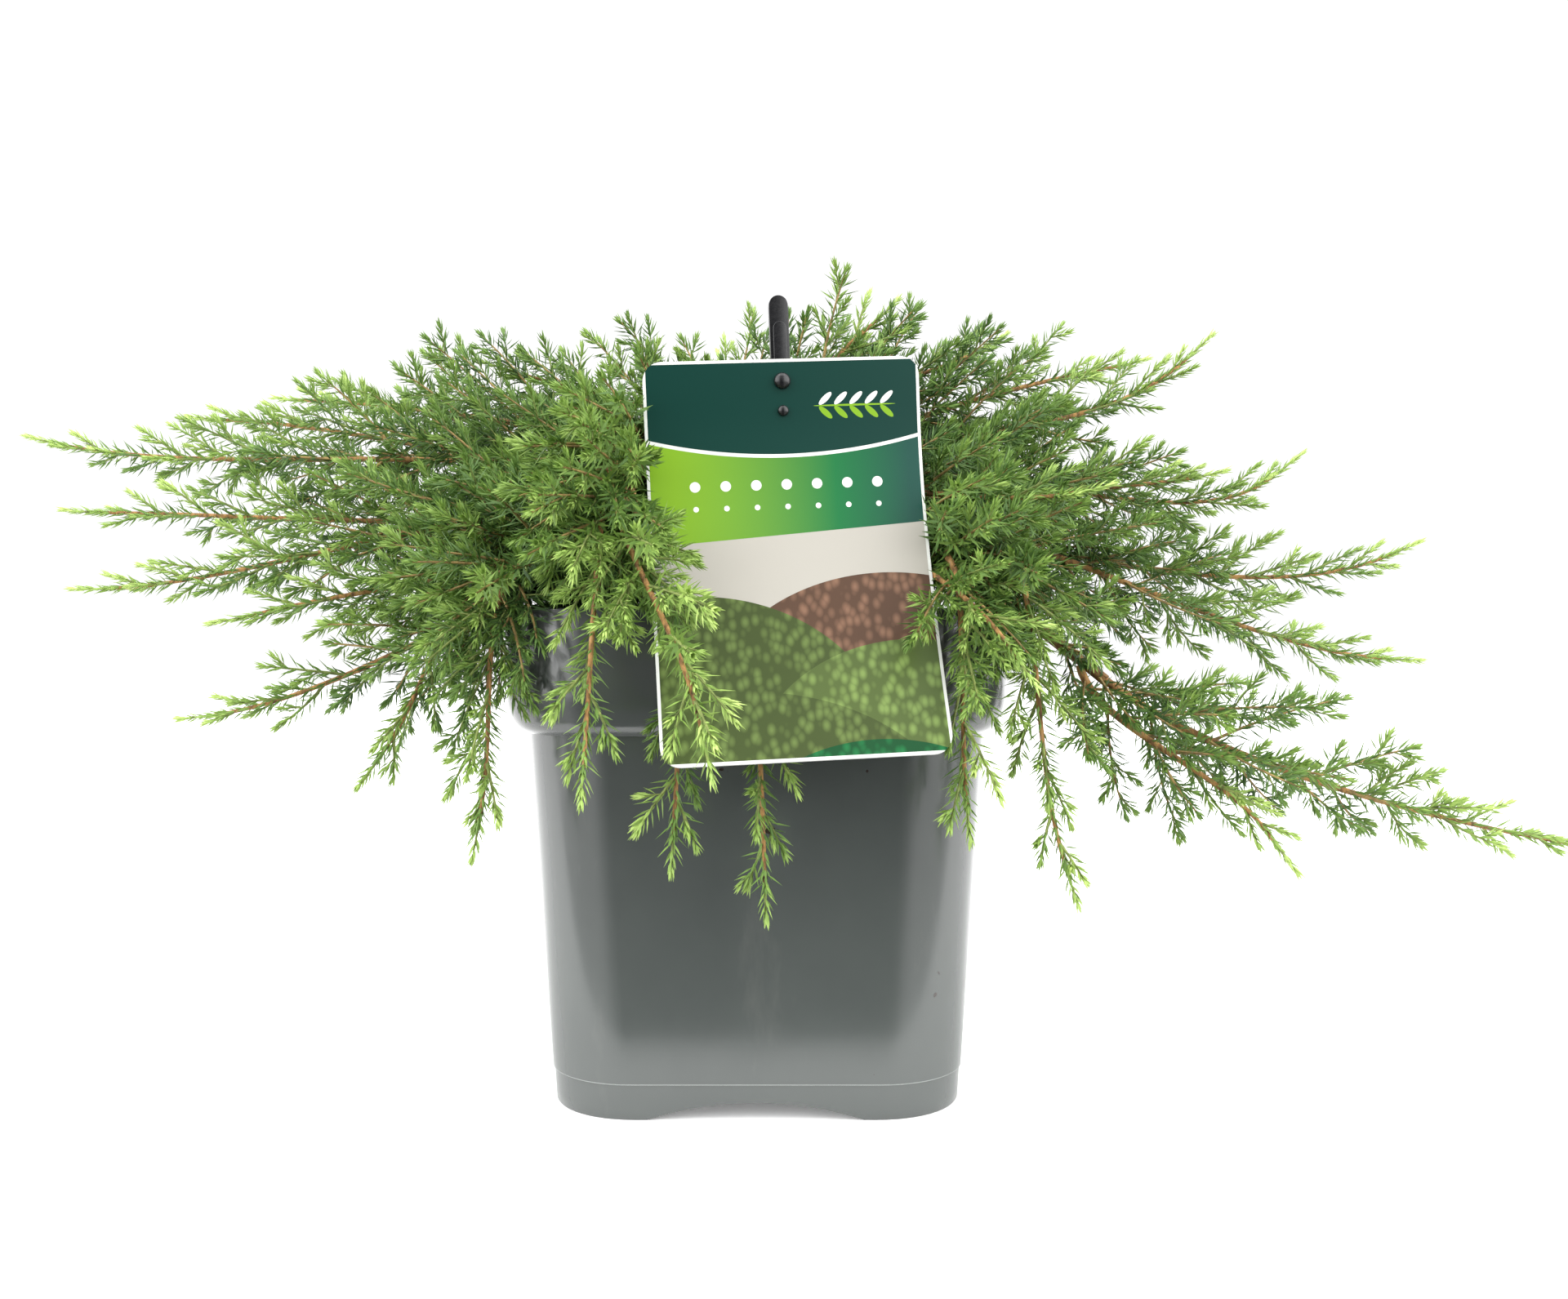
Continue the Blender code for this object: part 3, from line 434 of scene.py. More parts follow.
def mixHeight(shape, x, y, half):
    # a low mound, rough with crumbs
    share = max(abs(x), abs(y)) / half
    mound = shape["edge"] + (shape["crown"] - shape["edge"]) * (1 - share**2)
    return mound + shape["rough"] * (noise.noise(Vector((x, y, 0.3)) * 160) - 0.4)


def buildMix(shape, look, p):
    clear = p["wall"] + 0.6 * mm
    half = p["halfCollar"] - clear
    radius = p["corner"] - clear
    count = shape["cells"]
    top = bmesh.new()
    bmesh.ops.create_grid(top, x_segments=count, y_segments=count, size=half)
    for vert in top.verts:
        # pulls the corners of the grid in to the pot's round corners
        x, y = vert.co.x, vert.co.y
        over = Vector((max(abs(x) - (half - radius), 0), max(abs(y) - (half - radius), 0)))
        if over.length > 0:
            stretch = max(over) / over.length
            x = math.copysign(min(abs(x), half - radius) + over.x * stretch, x)
            y = math.copysign(min(abs(y), half - radius) + over.y * stretch, y)
        vert.co = Vector((x, y, mixHeight(shape, x, y, half)))
    # the walls step in under the collar, then taper to the pot's floor
    collar = p["collarBottom"]
    reached = half
    for target, height in (
        (half, collar + p["shoulder"] + 2 * mm),
        (p["halfBody"] - clear, collar + 1 * mm),
        (p["halfFoot"] - clear, p["floorTop"] + 0.3 * mm),
    ):
        rim = [edge for edge in top.edges if edge.is_boundary]
        wall = bmesh.ops.extrude_edge_only(top, edges=rim)
        for item in wall["geom"]:
            if isinstance(item, bmesh.types.BMVert):
                item.co = Vector((item.co.x * target / reached, item.co.y * target / reached, height))
        reached = target
    bmesh.ops.holes_fill(top, edges=[edge for edge in top.edges if edge.is_boundary])
    draw = random.Random(shape["seed"])
    for _ in range(shape["crumbs"]):
        x, y = draw.uniform(-half, half) * 0.93, draw.uniform(-half, half) * 0.93
        if math.hypot(max(abs(x) - half + radius, 0), max(abs(y) - half + radius, 0)) > radius * 0.9:
            continue
        size = draw.uniform(*shape["crumbSize"])
        turned = Euler([draw.uniform(0, 6.28) for _ in range(3)]).to_matrix().to_4x4()
        squash = Matrix.Diagonal((size, size * draw.uniform(0.5, 1), size * draw.uniform(0.35, 0.8), 1))
        place = Matrix.Translation((x, y, mixHeight(shape, x, y, half)))
        bmesh.ops.create_icosphere(top, subdivisions=1, radius=1, matrix=place @ turned @ squash)
    bmesh.ops.recalc_face_normals(top, faces=top.faces)
    mesh = bpy.data.meshes.new("mix")
    top.to_mesh(mesh)
    top.free()
    return finishPiece("potting_mix", mesh, [pottingMix(look)], ["potting_soil"], smooth=50)


buildMix(mixShape, mixLook, potShape)
print("potting mix")

# Plant card and its holder

labelPlace = dict(knob=(9.8 * mm, -95 * mm, 271.6 * mm), lean=4, roll=-2.6, yaw=5.7)
cardShape = dict(
    width=100 * mm, length=142 * mm, thick=0.8 * mm, corner=7 * mm, aboveKnob=7.9 * mm, bow=42 * mm,
    lowKnob=10.6 * mm, lowShare=0.66, slices=48, cornerSteps=10,
)
cardLook = dict(
    header=(0.003, 0.034, 0.026), lime=(0.19, 0.36, 0.02), green=(0.012, 0.14, 0.042),
    teal=(0.012, 0.062, 0.048), paper=(0.68, 0.69, 0.66), pale=(0.4, 0.38, 0.34),
    brown=(0.2, 0.11, 0.07), moss=(0.11, 0.16, 0.045),
    leaf=(0.17, 0.25, 0.07), margin=1.1 * mm,
)
# the print's places and sizes in millimetres, across and down from the card's top left corner
cardMotifs = dict(
    hills=(
        (82, 128, 66, 50, "brown"), (14, 140, 66, 56, "moss"), (88, 152, 60, 50, "leaf"),
        (30, 176, 74, 58, "moss"), (74, 188, 62, 52, "green"),
    ),
    tuftScale=34, bandDrop=66, bandSlope=-0.06, arc=(50, -150), arcReach=(190, 184), arcLine=(191, 185.3),
    stalk=(76, 17), stalkReach=(15, 0.35), leafPairs=5, leafStart=65.4, leafStep=5.6, leafOff=2.5,
    leafReach=(3.1, 1.05), leafTurn=0.75, dots=7, dotStart=(17, 45), dotStep=(11, 8), dotRadius=(1.9, 1.0),
)
labelTurn = Euler([math.radians(labelPlace[key]) for key in ("lean", "roll", "yaw")]).to_matrix().to_4x4()
labelFrame = Matrix.Translation(labelPlace["knob"]) @ labelTurn


def cardBow(s, drop):
    free = s["length"] - s["aboveKnob"] - s["lowKnob"]
    share = max(0.0, drop - s["lowKnob"]) / free
    return s["bow"] * (3 * share**2 - share**3) / 2


def cardOutline(s):
    points = []
    for corner, (side, down) in enumerate(((1, 0), (1, 1), (-1, 1), (-1, 0))):
        x = side * (s["width"] / 2 - s["corner"])
        y = s["corner"] + down * (s["length"] - 2 * s["corner"])
        for step in range(s["cornerSteps"] + 1):
            angle = (corner - 1 + step / s["cornerSteps"]) * math.pi / 2
            points.append((x + s["corner"] * math.cos(angle), y + s["corner"] * math.sin(angle)))
    return points


def below(tree, value, limit):
    return calc(tree, "LESS_THAN", value, limit)


def discMask(tree, across, down, x, y, wide, tall, turn=0.0):
    # inside an ellipse, its sizes in millimetres
    c, s = math.cos(turn), math.sin(turn)
    dx = calc(tree, "SUBTRACT", across, x)
    dy = calc(tree, "SUBTRACT", down, y)
    along = calc(tree, "ADD", calc(tree, "MULTIPLY", dx, c / wide), calc(tree, "MULTIPLY", dy, s / wide))
    side = calc(tree, "SUBTRACT", calc(tree, "MULTIPLY", dy, c / tall), calc(tree, "MULTIPLY", dx, s / tall))
    total = calc(tree, "ADD", calc(tree, "MULTIPLY", along, along), calc(tree, "MULTIPLY", side, side))
    return below(tree, total, 1.0)


def cardPrint(look, s, m):
    # a generic print: a green header with a sprig, a lime band and low hills, in the card's own coordinates
    finish, tree, shader = newMaterial("cardPrint", look["leaf"], 0.28)
    place = tree.nodes.new("ShaderNodeUVMap")
    place.uv_map = "card"
    split = tree.nodes.new("ShaderNodeSeparateXYZ")
    tree.links.new(place.outputs["UV"], split.inputs[0])
    wide, tall = s["width"] / mm, s["length"] / mm
    across = calc(tree, "MULTIPLY", split.outputs[0], wide)
    down = calc(tree, "MULTIPLY", split.outputs[1], tall)
    cells = tree.nodes.new("ShaderNodeTexVoronoi")
    cells.inputs["Scale"].default_value = m["tuftScale"]
    tree.links.new(place.outputs["UV"], cells.inputs["Vector"])
    tufts = ramp(tree, cells.outputs["Distance"], ((0.15, 1.0), (0.62, 0.42)))
    picture = look["pale"]
    # low planted hills, one behind the other
    for x, y, reachX, reachY, tint in m["hills"]:
        hill = discMask(tree, across, down, x, y, reachX, reachY)
        planted = blend(tree, 1.0, look[tint], tufts, mode="MULTIPLY")
        picture = blend(tree, hill, picture, planted)
    # the lime band fades to green and teal across
    fade = calc(tree, "DIVIDE", across, wide)
    band = ramp(tree, fade, ((0.1, look["lime"]), (0.68, look["green"]), (0.95, look["teal"])))
    bandEdge = calc(tree, "ADD", calc(tree, "MULTIPLY", across, m["bandSlope"]), m["bandDrop"])
    picture = blend(tree, below(tree, down, bandEdge), picture, band)
    rise = discMask(tree, across, down, *m["arc"], *m["arcReach"])
    riseLine = discMask(tree, across, down, *m["arc"], *m["arcLine"])
    picture = blend(tree, riseLine, picture, look["paper"])
    picture = blend(tree, rise, picture, look["header"])
    # a sprig in the header: a stalk with pairs of oval leaves
    picture = blend(tree, discMask(tree, across, down, *m["stalk"], *m["stalkReach"]), picture, look["lime"])
    for i in range(m["leafPairs"]):
        x = m["leafStart"] + m["leafStep"] * i
        for side in (1, -1):
            y = m["stalk"][1] + side * m["leafOff"]
            leafMask = discMask(tree, across, down, x, y, *m["leafReach"], side * m["leafTurn"])
            picture = blend(tree, leafMask, picture, look["lime"] if side == 1 else look["paper"])
    # plain dots in two rows on the band
    for i in range(m["dots"]):
        for row in range(2):
            x, y = m["dotStart"][0] + m["dotStep"][0] * i, m["dotStart"][1] + m["dotStep"][1] * row
            dot = discMask(tree, across, down, x, y, m["dotRadius"][row], m["dotRadius"][row])
            picture = blend(tree, dot, picture, look["paper"])
    margin = look["margin"] / mm
    inX = below(tree, calc(tree, "ABSOLUTE", calc(tree, "SUBTRACT", across, wide / 2)), wide / 2 - margin)
    inY = below(tree, calc(tree, "ABSOLUTE", calc(tree, "SUBTRACT", down, tall / 2)), tall / 2 - margin)
    picture = blend(tree, calc(tree, "MULTIPLY", inX, inY), look["paper"], picture)
    tree.links.new(picture, shader.inputs["Base Color"])
    shader.inputs["Specular IOR Level"].default_value = 0.22
    return finish


def cardStock(look):
    finish, tree, shader = newMaterial("cardStock", look["paper"], 0.4)
    fibre = objectPattern(tree, "ShaderNodeTexNoise", 500, detail=3)
    worn = tuple(0.9 * c for c in look["paper"])
    tone = ramp(tree, fibre.outputs["Fac"], ((0.3, look["paper"]), (0.8, worn)))
    tree.links.new(tone, shader.inputs["Base Color"])
    return finish


def buildCard(s, look, motifs):
    work = bmesh.new()
    work.faces.new([work.verts.new((x, 0, -y)) for x, y in cardOutline(s)])
    for i in range(1, s["slices"]):
        plane = Vector((0, 0, -s["length"] * i / s["slices"]))
        everything = work.verts[:] + work.edges[:] + work.faces[:]
        bmesh.ops.bisect_plane(work, geom=everything, plane_co=plane, plane_no=up)
    chart = work.loops.layers.uv.new("card")
    for face in work.faces:
        for loop in face.loops:
            loop[chart].uv = (loop.vert.co.x / s["width"] + 0.5, -loop.vert.co.z / s["length"])
    for vert in work.verts:
        drop = -vert.co.z - s["aboveKnob"]
        bow = cardBow(s, drop)
        vert.co = Vector((vert.co.x, -bow, -drop + 0.2 * bow * bow / s["length"]))
    bmesh.ops.recalc_face_normals(work, faces=work.faces)
    if sum(face.normal.y for face in work.faces) > 0:
        bmesh.ops.reverse_faces(work, faces=work.faces)
    bmesh.ops.transform(work, matrix=labelFrame, verts=work.verts)
    mesh = bpy.data.meshes.new("card")
    work.to_mesh(mesh)
    work.free()
    sheet = link(bpy.data.objects.new("card_work", mesh))
    for finish in (cardPrint(look, s, motifs), cardStock(look)):
        mesh.materials.append(finish)
    finishes = list(mesh.materials)
    thick = sheet.modifiers.new("thick", "SOLIDIFY")
    thick.thickness = s["thick"]
    thick.offset = -1
    thick.material_offset = 1
    thick.material_offset_rim = 1
    made = applied(sheet)
    bpy.data.objects.remove(sheet)
    return finishPiece("card", made, finishes, ["label_card"], smooth=40)


holderShape = dict(
    postWidth=7.0 * mm, postThick=3.0 * mm, postAbove=31 * mm, postBelow=148 * mm, edge=0.55 * mm,
    tongueWidth=4.8 * mm, tongueThick=1.6 * mm, tongueAbove=21.5 * mm, tongueBelow=6 * mm,
    knobRadius=3.0 * mm, knobStem=2.0 * mm, knobHigh=2.2 * mm, gap=0.3 * mm,
)
blackLook = dict(colour=(0.005, 0.005, 0.006), roughness=(0.2, 0.3), grain=900)


def blackPlastic(look):
    finish, tree, shader = newMaterial("blackPlastic", look["colour"], 0.35)
    grain = objectPattern(tree, "ShaderNodeTexNoise", look["grain"], detail=3)
    low, high = look["roughness"]
    tree.links.new(ramp(tree, grain.outputs["Fac"], ((0.3, low), (0.7, high))), shader.inputs["Roughness"])
    addBump(tree, shader, grain.outputs["Fac"], 0.1, 0.0001)
    return finish


def roundBar(width, y0, y1, top, bottom):
    # an upright bar with a pointed arch on top, as points and faces
    half = width / 2
    section = [(-half, bottom), (half, bottom)]
    steps = 14
    for i in range(steps + 1):
        angle = i / steps * math.pi
        section.append((half * math.cos(angle), top - 1.25 * half + 1.25 * half * math.sin(angle) ** 0.8))
    points = [Vector((x, y, z)) for y in (y0, y1) for x, z in section]
    return points, ringFaces(2, len(section))


def knobDome(radius, stem, high, front, back, drop):
    # a turned knob: a domed head on a short stem
    profile = [(stem, back), (stem, front), (radius * 0.96, front), (radius, front - 0.12 * high)]
    for i in range(1, 7):
        angle = i / 7 * math.pi / 2
        profile.append((radius * math.cos(angle), front - high * (0.12 + 0.88 * math.sin(angle))))
    count = 28
    points = []
    for size, y in profile:
        for k in range(count):
            turn = 2 * math.pi * k / count
            points.append(Vector((math.cos(turn) * size, y, math.sin(turn) * size - drop)))
    return points, ringFaces(len(profile), count)


def buildHolder(h, s, look):
    back = s["thick"] + h["gap"]
    front = back + h["tongueThick"]
    tongueEnd = -s["lowKnob"] - h["tongueBelow"]
    parts = [
        roundBar(h["postWidth"], front, front + h["postThick"], h["postAbove"], -h["postBelow"]),
        roundBar(h["tongueWidth"], back, front + h["gap"], h["tongueAbove"], tongueEnd),
    ]
    for drop, share in ((0, 1), (s["lowKnob"], s["lowShare"])):
        radius, stem, high = (h[key] * share for key in ("knobRadius", "knobStem", "knobHigh"))
        parts.append(knobDome(radius, stem, high, -h["gap"], back + h["gap"], drop))
    points, faces = [], []
    for some, joins in parts:
        faces += [tuple(len(points) + i for i in face) for face in joins]
        points += [labelFrame @ point for point in some]
    work = link(bpy.data.objects.new("holder_work", meshOf("holder", points, faces)))
    rounding = work.modifiers.new("rounding", "BEVEL")
    rounding.width = h["edge"]
    rounding.segments = 3
    rounding.limit_method = "ANGLE"
    rounding.angle_limit = math.radians(50)
    made = applied(work)
    bpy.data.objects.remove(work)
    return finishPiece("holder", made, [blackPlastic(look)], ["label_holder"], smooth=35)


buildCard(cardShape, cardLook, cardMotifs)
buildHolder(holderShape, cardShape, blackLook)
print("card and holder")

# Trunk and boughs: where each leaves the trunk, and its tip

trunkShape = dict(
    foot=178.3 * mm, top=240 * mm, flare=13 * mm, radius=8.2 * mm, topRadius=6.2 * mm,
    lean=Vector((3, -2, 0)) * mm, sides=44, rings=34, sink=-1.0 * mm, relief=0.09,
)
boughShape = dict(radius=3.1 * mm, tipRadius=2.1 * mm, sides=18, rings=26, relief=0.16)
boughs = {
    "left_back": dict(azimuth=157, start=230, reach=46, height=259),
    "left": dict(azimuth=177, start=217, reach=46, height=245),
    "left_front": dict(azimuth=197, start=204, reach=46, height=228),
    "left_low": dict(azimuth=216, start=191, reach=76, height=216),
    "front_left": dict(azimuth=246, start=222, reach=74, height=254),
    "front": dict(azimuth=274, start=200, reach=62, height=224),
    "front_right": dict(azimuth=302, start=215, reach=42, height=235),
    "right_front": dict(azimuth=322, start=193, reach=80, height=217),
    "right_droop": dict(azimuth=338, start=207, reach=146, height=163),
    "right": dict(azimuth=354, start=221, reach=53, height=233),
    "right_upper": dict(azimuth=11, start=208, reach=49, height=246),
    "right_back": dict(azimuth=31, start=230, reach=41, height=262),
    "crown": dict(azimuth=330, start=240, reach=12, height=272),
    "crown_back": dict(azimuth=112, start=233, reach=36, height=268),
    "back_right": dict(azimuth=55, start=205, reach=46, height=233),
    "back": dict(azimuth=92, start=213, reach=46, height=239),
    "back_left": dict(azimuth=131, start=203, reach=46, height=233),
}
barkLook = dict(
    deep=(0.035, 0.018, 0.01), brown=(0.14, 0.073, 0.026), orange=(0.26, 0.14, 0.045), grey=(0.17, 0.13, 0.1),
)


def barkFinish(name, look, bright=1.0):
    finish, tree, shader = newMaterial(name, look["brown"], 0.85)
    strips = objectPattern(tree, "ShaderNodeTexNoise", 420, stretch=(1, 1, 0.28), detail=5, roughness=0.65)
    stops = ((0.3, look["deep"]), (0.46, look["brown"]), (0.6, look["orange"]), (0.78, look["grey"]))
    toned = [(place, tuple(min(1, c * bright) for c in colour)) for place, colour in stops]
    tree.links.new(ramp(tree, strips.outputs["Fac"], toned), shader.inputs["Base Color"])
    addBump(tree, shader, strips.outputs["Fac"], 0.6, 0.0006)
    return finish


def polar(azimuth, reach, height):
    angle = math.radians(azimuth)
    return Vector((reach * math.cos(angle), reach * math.sin(angle), height))


def heading(azimuth, pitch):
    return polar(azimuth, math.cos(math.radians(pitch)), math.sin(math.radians(pitch)))


def hermite(start, startPull, end, endPull, share):
    s2, s3 = share**2, share**3
    here = start * (2 * s3 - 3 * s2 + 1) + end * (3 * s2 - 2 * s3)
    return here + startPull * (s3 - 2 * s2 + share) + endPull * (s3 - s2)


def trunkPoint(t, height):
    share = max(0.0, (height - t["foot"]) / (t["top"] - t["foot"]))
    return Vector((0, 0, height)) + t["lean"] * share**1.3


def trunkRadius(t, height):
    share = (height - t["foot"]) / (t["top"] - t["foot"])
    flare = (t["flare"] - t["radius"]) * max(0.0, 1 - share * 5) ** 2
    return t["radius"] + (t["topRadius"] - t["radius"]) * share + flare


def boughCurve(bough, t, b):
    start = bough["start"] * mm
    end = polar(bough["azimuth"], bough["reach"] * mm, bough["height"] * mm)
    if start >= t["top"]:
        foot, leave = trunkPoint(t, t["top"]) + up * t["sink"], up.copy()
    else:
        pitch = 52 if end.z > start else 46
        leave = heading(bough["azimuth"], pitch)
        off = trunkRadius(t, start) + t["sink"] + b["radius"] * math.sin(math.radians(pitch))
        foot = trunkPoint(t, start) + heading(bough["azimuth"], 0) * off
    span = (end - foot).length
    chordPitch = math.degrees(math.asin((end.z - foot.z) / span))
    return foot, leave * span, end, heading(bough["azimuth"], chordPitch - 22) * span


def barkRelief(turn, along, seed):
    # long fibrous strips: ridges that run up the limb and wander round it
    wander = noise.noise(Vector((along * 55, seed, 0))) * 1.2
    strips = math.sin(7 * (turn + wander) + seed) * 0.5
    strips += math.sin(13 * (turn - 0.6 * wander) + 2 * seed) * 0.3
    torn = noise.noise(Vector((math.cos(turn) * 3, math.sin(turn) * 3 + seed, along * 260)))
    return strips + torn * 0.9


def barkLimb(path, radii, sides, relief, seed):
    points = []
    tangent = (path[1] - path[0]).normalized()
    side = tangent.orthogonal().normalized()
    travelled = 0.0
    for i, (spot, radius) in enumerate(zip(path, radii)):
        ahead = (path[min(i + 1, len(path) - 1)] - path[max(i - 1, 0)]).normalized()
        side = tangent.rotation_difference(ahead) @ side
        tangent = ahead
        other = tangent.cross(side)
        travelled += (path[i] - path[max(i - 1, 0)]).length
        for k in range(sides):
            angle = 2 * math.pi * k / sides
            swell = radius * (1 + relief * barkRelief(angle, travelled, seed))
            points.append(spot + (side * math.cos(angle) + other * math.sin(angle)) * swell)
    return points, ringFaces(len(path), sides)


def buildLimbs(t, b, look):
    rings = t["rings"]
    heights = [t["foot"] + (t["top"] - t["foot"]) * i / (rings - 1) for i in range(rings)]
    path = [trunkPoint(t, h) for h in heights]
    radii = [trunkRadius(t, h) for h in heights]
    parts = [barkLimb(path, radii, t["sides"], t["relief"], 1.7)]
    tips = {}
    for number, (name, bough) in enumerate(boughs.items()):
        curve = boughCurve(bough, t, b)
        shares = [i / (b["rings"] - 1) for i in range(b["rings"])]
        path = [hermite(*curve, s) for s in shares]
        radii = [b["radius"] + (b["tipRadius"] - b["radius"]) * s for s in shares]
        parts.append(barkLimb(path, radii, b["sides"], b["relief"], 3.1 * number))
        # the masses leave it where the source's six rings put them
        tips[name] = [hermite(*curve, i / 5) for i in range(6)]
    points, faces = [], []
    for some, joins in parts:
        faces += [tuple(len(points) + i for i in face) for face in joins]
        points += some
    nodes = ["trunk", *boughNodes]
    limbs = meshOf("limbs", points, faces)
    finishPiece("trunk_and_boughs", limbs, [barkFinish("bark", look)], nodes, smooth=60)
    return tips


boughTips = buildLimbs(trunkShape, boughShape, barkLook)
print("trunk and boughs")

# Stems of the masses: the bough each grows from, or its height on the trunk, then its tip

masses = [
    dict(bough="left_back", azimuth=161, reach=236, height=295, pitch=4, full=1.0),
    dict(bough="left_back", azimuth=168, reach=260, height=282, pitch=2, full=0.95),
    dict(bough="left", azimuth=176, reach=312, height=266, pitch=12, full=1.0),
    dict(bough="left", azimuth=181, reach=281, height=233, pitch=0, full=1.0),
    dict(bough="left_front", azimuth=185, reach=268, height=200, pitch=-3, full=1.0),
    dict(bough="left_front", azimuth=192, reach=207, height=188, pitch=-16, full=1.1, filled=1.1),
    dict(bough="left_low", via=(211, 124, 204), azimuth=213, reach=163, height=136, pitch=-50,
         full=1.1, filled=1.5),
    dict(bough="left_low", azimuth=191, reach=220, height=149, pitch=-8, full=0.8),
    dict(bough="left_low", via=(225, 127, 201), azimuth=226, reach=141, height=114, pitch=-72,
         full=1.1, filled=1.5),
    dict(bough="front_left", via=(243, 114, 236), azimuth=250, reach=158, height=137, pitch=-70,
         full=1.2, fresh=0.6, filled=1.6),
    dict(bough="front_left", via=(247, 119, 222), azimuth=265, reach=166, height=146, pitch=-75,
         full=1.1, fresh=0.8, filled=1.4),
    dict(bough="front", via=(270, 99.5, 198), azimuth=272, reach=112, height=93, pitch=-84,
         full=0.85, filled=0.6),
    dict(bough="front", via=(258, 102, 199), azimuth=257, reach=122, height=112, pitch=-80,
         full=0.9, filled=0.8),
    dict(bough="front_right", azimuth=319, reach=152, height=231, pitch=8, full=0.9),
    dict(bough="front_right", azimuth=304, reach=158, height=172, pitch=-50, full=1.1, filled=0.9),
    dict(bough="right_front", via=(318, 130, 202), azimuth=318, reach=150, height=96, pitch=-66,
         full=1.0, fresh=0.4, filled=0.9),
    dict(bough="right_front", via=(306, 122, 202), azimuth=304, reach=133, height=121, pitch=-72,
         full=1.0, fresh=0.4, filled=0.9),
    dict(bough="right_droop", azimuth=350, reach=318, height=100, pitch=-10, full=0.75, fresh=0.7),
    dict(bough="right_droop", azimuth=337, reach=208, height=104, pitch=-60, full=0.7, fresh=0.4),
    dict(bough="right", azimuth=360, reach=268, height=171, pitch=-4, full=1.1),
    dict(bough="right", azimuth=4, reach=279, height=217, pitch=24, full=1.0),
    dict(bough="right_upper", azimuth=5, reach=229, height=253, pitch=42, full=1.0),
    dict(bough="right_upper", azimuth=354, reach=180, height=246, pitch=8, full=1.0),
    dict(bough="right_back", azimuth=19, reach=178, height=308, pitch=12, full=1.0),
    dict(bough="right_back", azimuth=6, reach=190, height=304, pitch=45, full=0.8),
    dict(bough="crown", azimuth=3, reach=50, height=316, pitch=42, full=0.75),
    dict(bough="crown", azimuth=20, reach=108, height=312, pitch=30, full=0.75),
    dict(bough="crown_back", azimuth=160, reach=124, height=303, pitch=18, full=0.85),
    dict(bough="crown_back", azimuth=105, reach=76, height=312, pitch=34, full=0.8),
    dict(bough="back_right", azimuth=48, reach=262, height=246, pitch=8, full=1.0),
    dict(bough="back_right", azimuth=66, reach=214, height=166, pitch=-30, full=1.0),
    dict(bough="back", azimuth=86, reach=252, height=262, pitch=10, full=1.0),
    dict(bough="back", azimuth=100, reach=222, height=182, pitch=-25, full=1.0),
    dict(bough="back_left", azimuth=118, reach=248, height=252, pitch=8, full=1.0),
    dict(bough="back_left", azimuth=139, reach=240, height=206, pitch=-12, full=1.0),
    dict(start=186, azimuth=188, reach=104, height=212, pitch=2, full=0.75),
    dict(start=185, azimuth=233, reach=86, height=210, pitch=0, full=0.9, filled=1.5),
    dict(start=189, azimuth=352, reach=106, height=211, pitch=2, full=0.75),
]
stemShape = dict(
    radius=1.7 * mm, tipRadius=0.7 * mm, rings=26, sideLeave=math.radians(40), sideShare=(1, 0.93, 0.83),
    trunkLeave=38, clear=-0.5 * mm,
)
# the source's rule for side shoots, with every shoot grown and carried to finer twigs
shootShape = dict(
    spacing=8.0 * mm, length=46 * mm, tipLength=13 * mm, turn=137.5, growth=1.25, slimmer=0.58, steps=6,
    lift=0.22, follow=0.6,
    past=12 * mm, endShare=0.97, radius=0.75 * mm, tipRadius=0.35 * mm, slimZone=35 * mm,
    longest=52 * mm, hangLongest=33 * mm, hangYouth=0.35, bare=0.35, hangBare=0.12, shootBare=0.1,
    clear=4.5 * mm, shortest=7 * mm, filled=0.08, boughSpacing=6.5 * mm, boughShoot=34 * mm, boughFrom=0.25,
)
boughMass = dict(fresh=0.2)
twigShape = dict(
    spacing=6.3 * mm, share=(0.16, 0.34), shortest=5.5 * mm, lean=44, steps=4,
    radius=0.42 * mm, tipRadius=0.28 * mm, clear=3.5 * mm,
)
needleShape = dict(
    apart=3.1 * mm, tipApart=1.9 * mm, length=8.9 * mm, tipLength=5.0 * mm, width=1.2 * mm, thick=0.66 * mm,
    open=58, closed=13, closing=32, youngLength=0.36,
    tipZone=10 * mm, pieceLimit=33000,
)
# base colours from painted shade on the inside to the lime tips, dealt out by spray
greens = dict(
    shade=(0.029, 0.06, 0.019), deep=(0.05, 0.103, 0.029), mid=(0.089, 0.168, 0.041),
    leaf=(0.134, 0.234, 0.05), fresh=(0.198, 0.314, 0.066), light=(0.282, 0.414, 0.098),
    lime=(0.402, 0.54, 0.15),
)
# how light each spray is, as a place in the list of greens; inner and outward give painted shade inside and
# painted light further out, where the growth is also younger; above gives painted light on top and painted
# shade underneath
toneShape = dict(
    inner=1.0, outwardLightAndYouth=2.2, above=0.6, spread=1, shootTip=1.5, twig=0.35, twigSpread=0.5, twigTip=1.3,
    stem=2.4, stemTip=1.8, end=2.6, endTip=1.6, needleSpread=0.4,
)
woods = dict(tan=(0.3, 0.2, 0.07), green=(0.2, 0.25, 0.065))

keepClear = ("pot", "potting_soil", "label_card", "label_holder")


def obstacleTree(names):
    points, faces = [], []
    for name in names:
        item = bpy.data.objects[name]
        first = len(points)
        points += [item.matrix_world @ v.co for v in item.data.vertices]
        faces += [tuple(first + i for i in p.vertices) for p in item.data.polygons]
    return BVHTree.FromPolygons(points, faces)


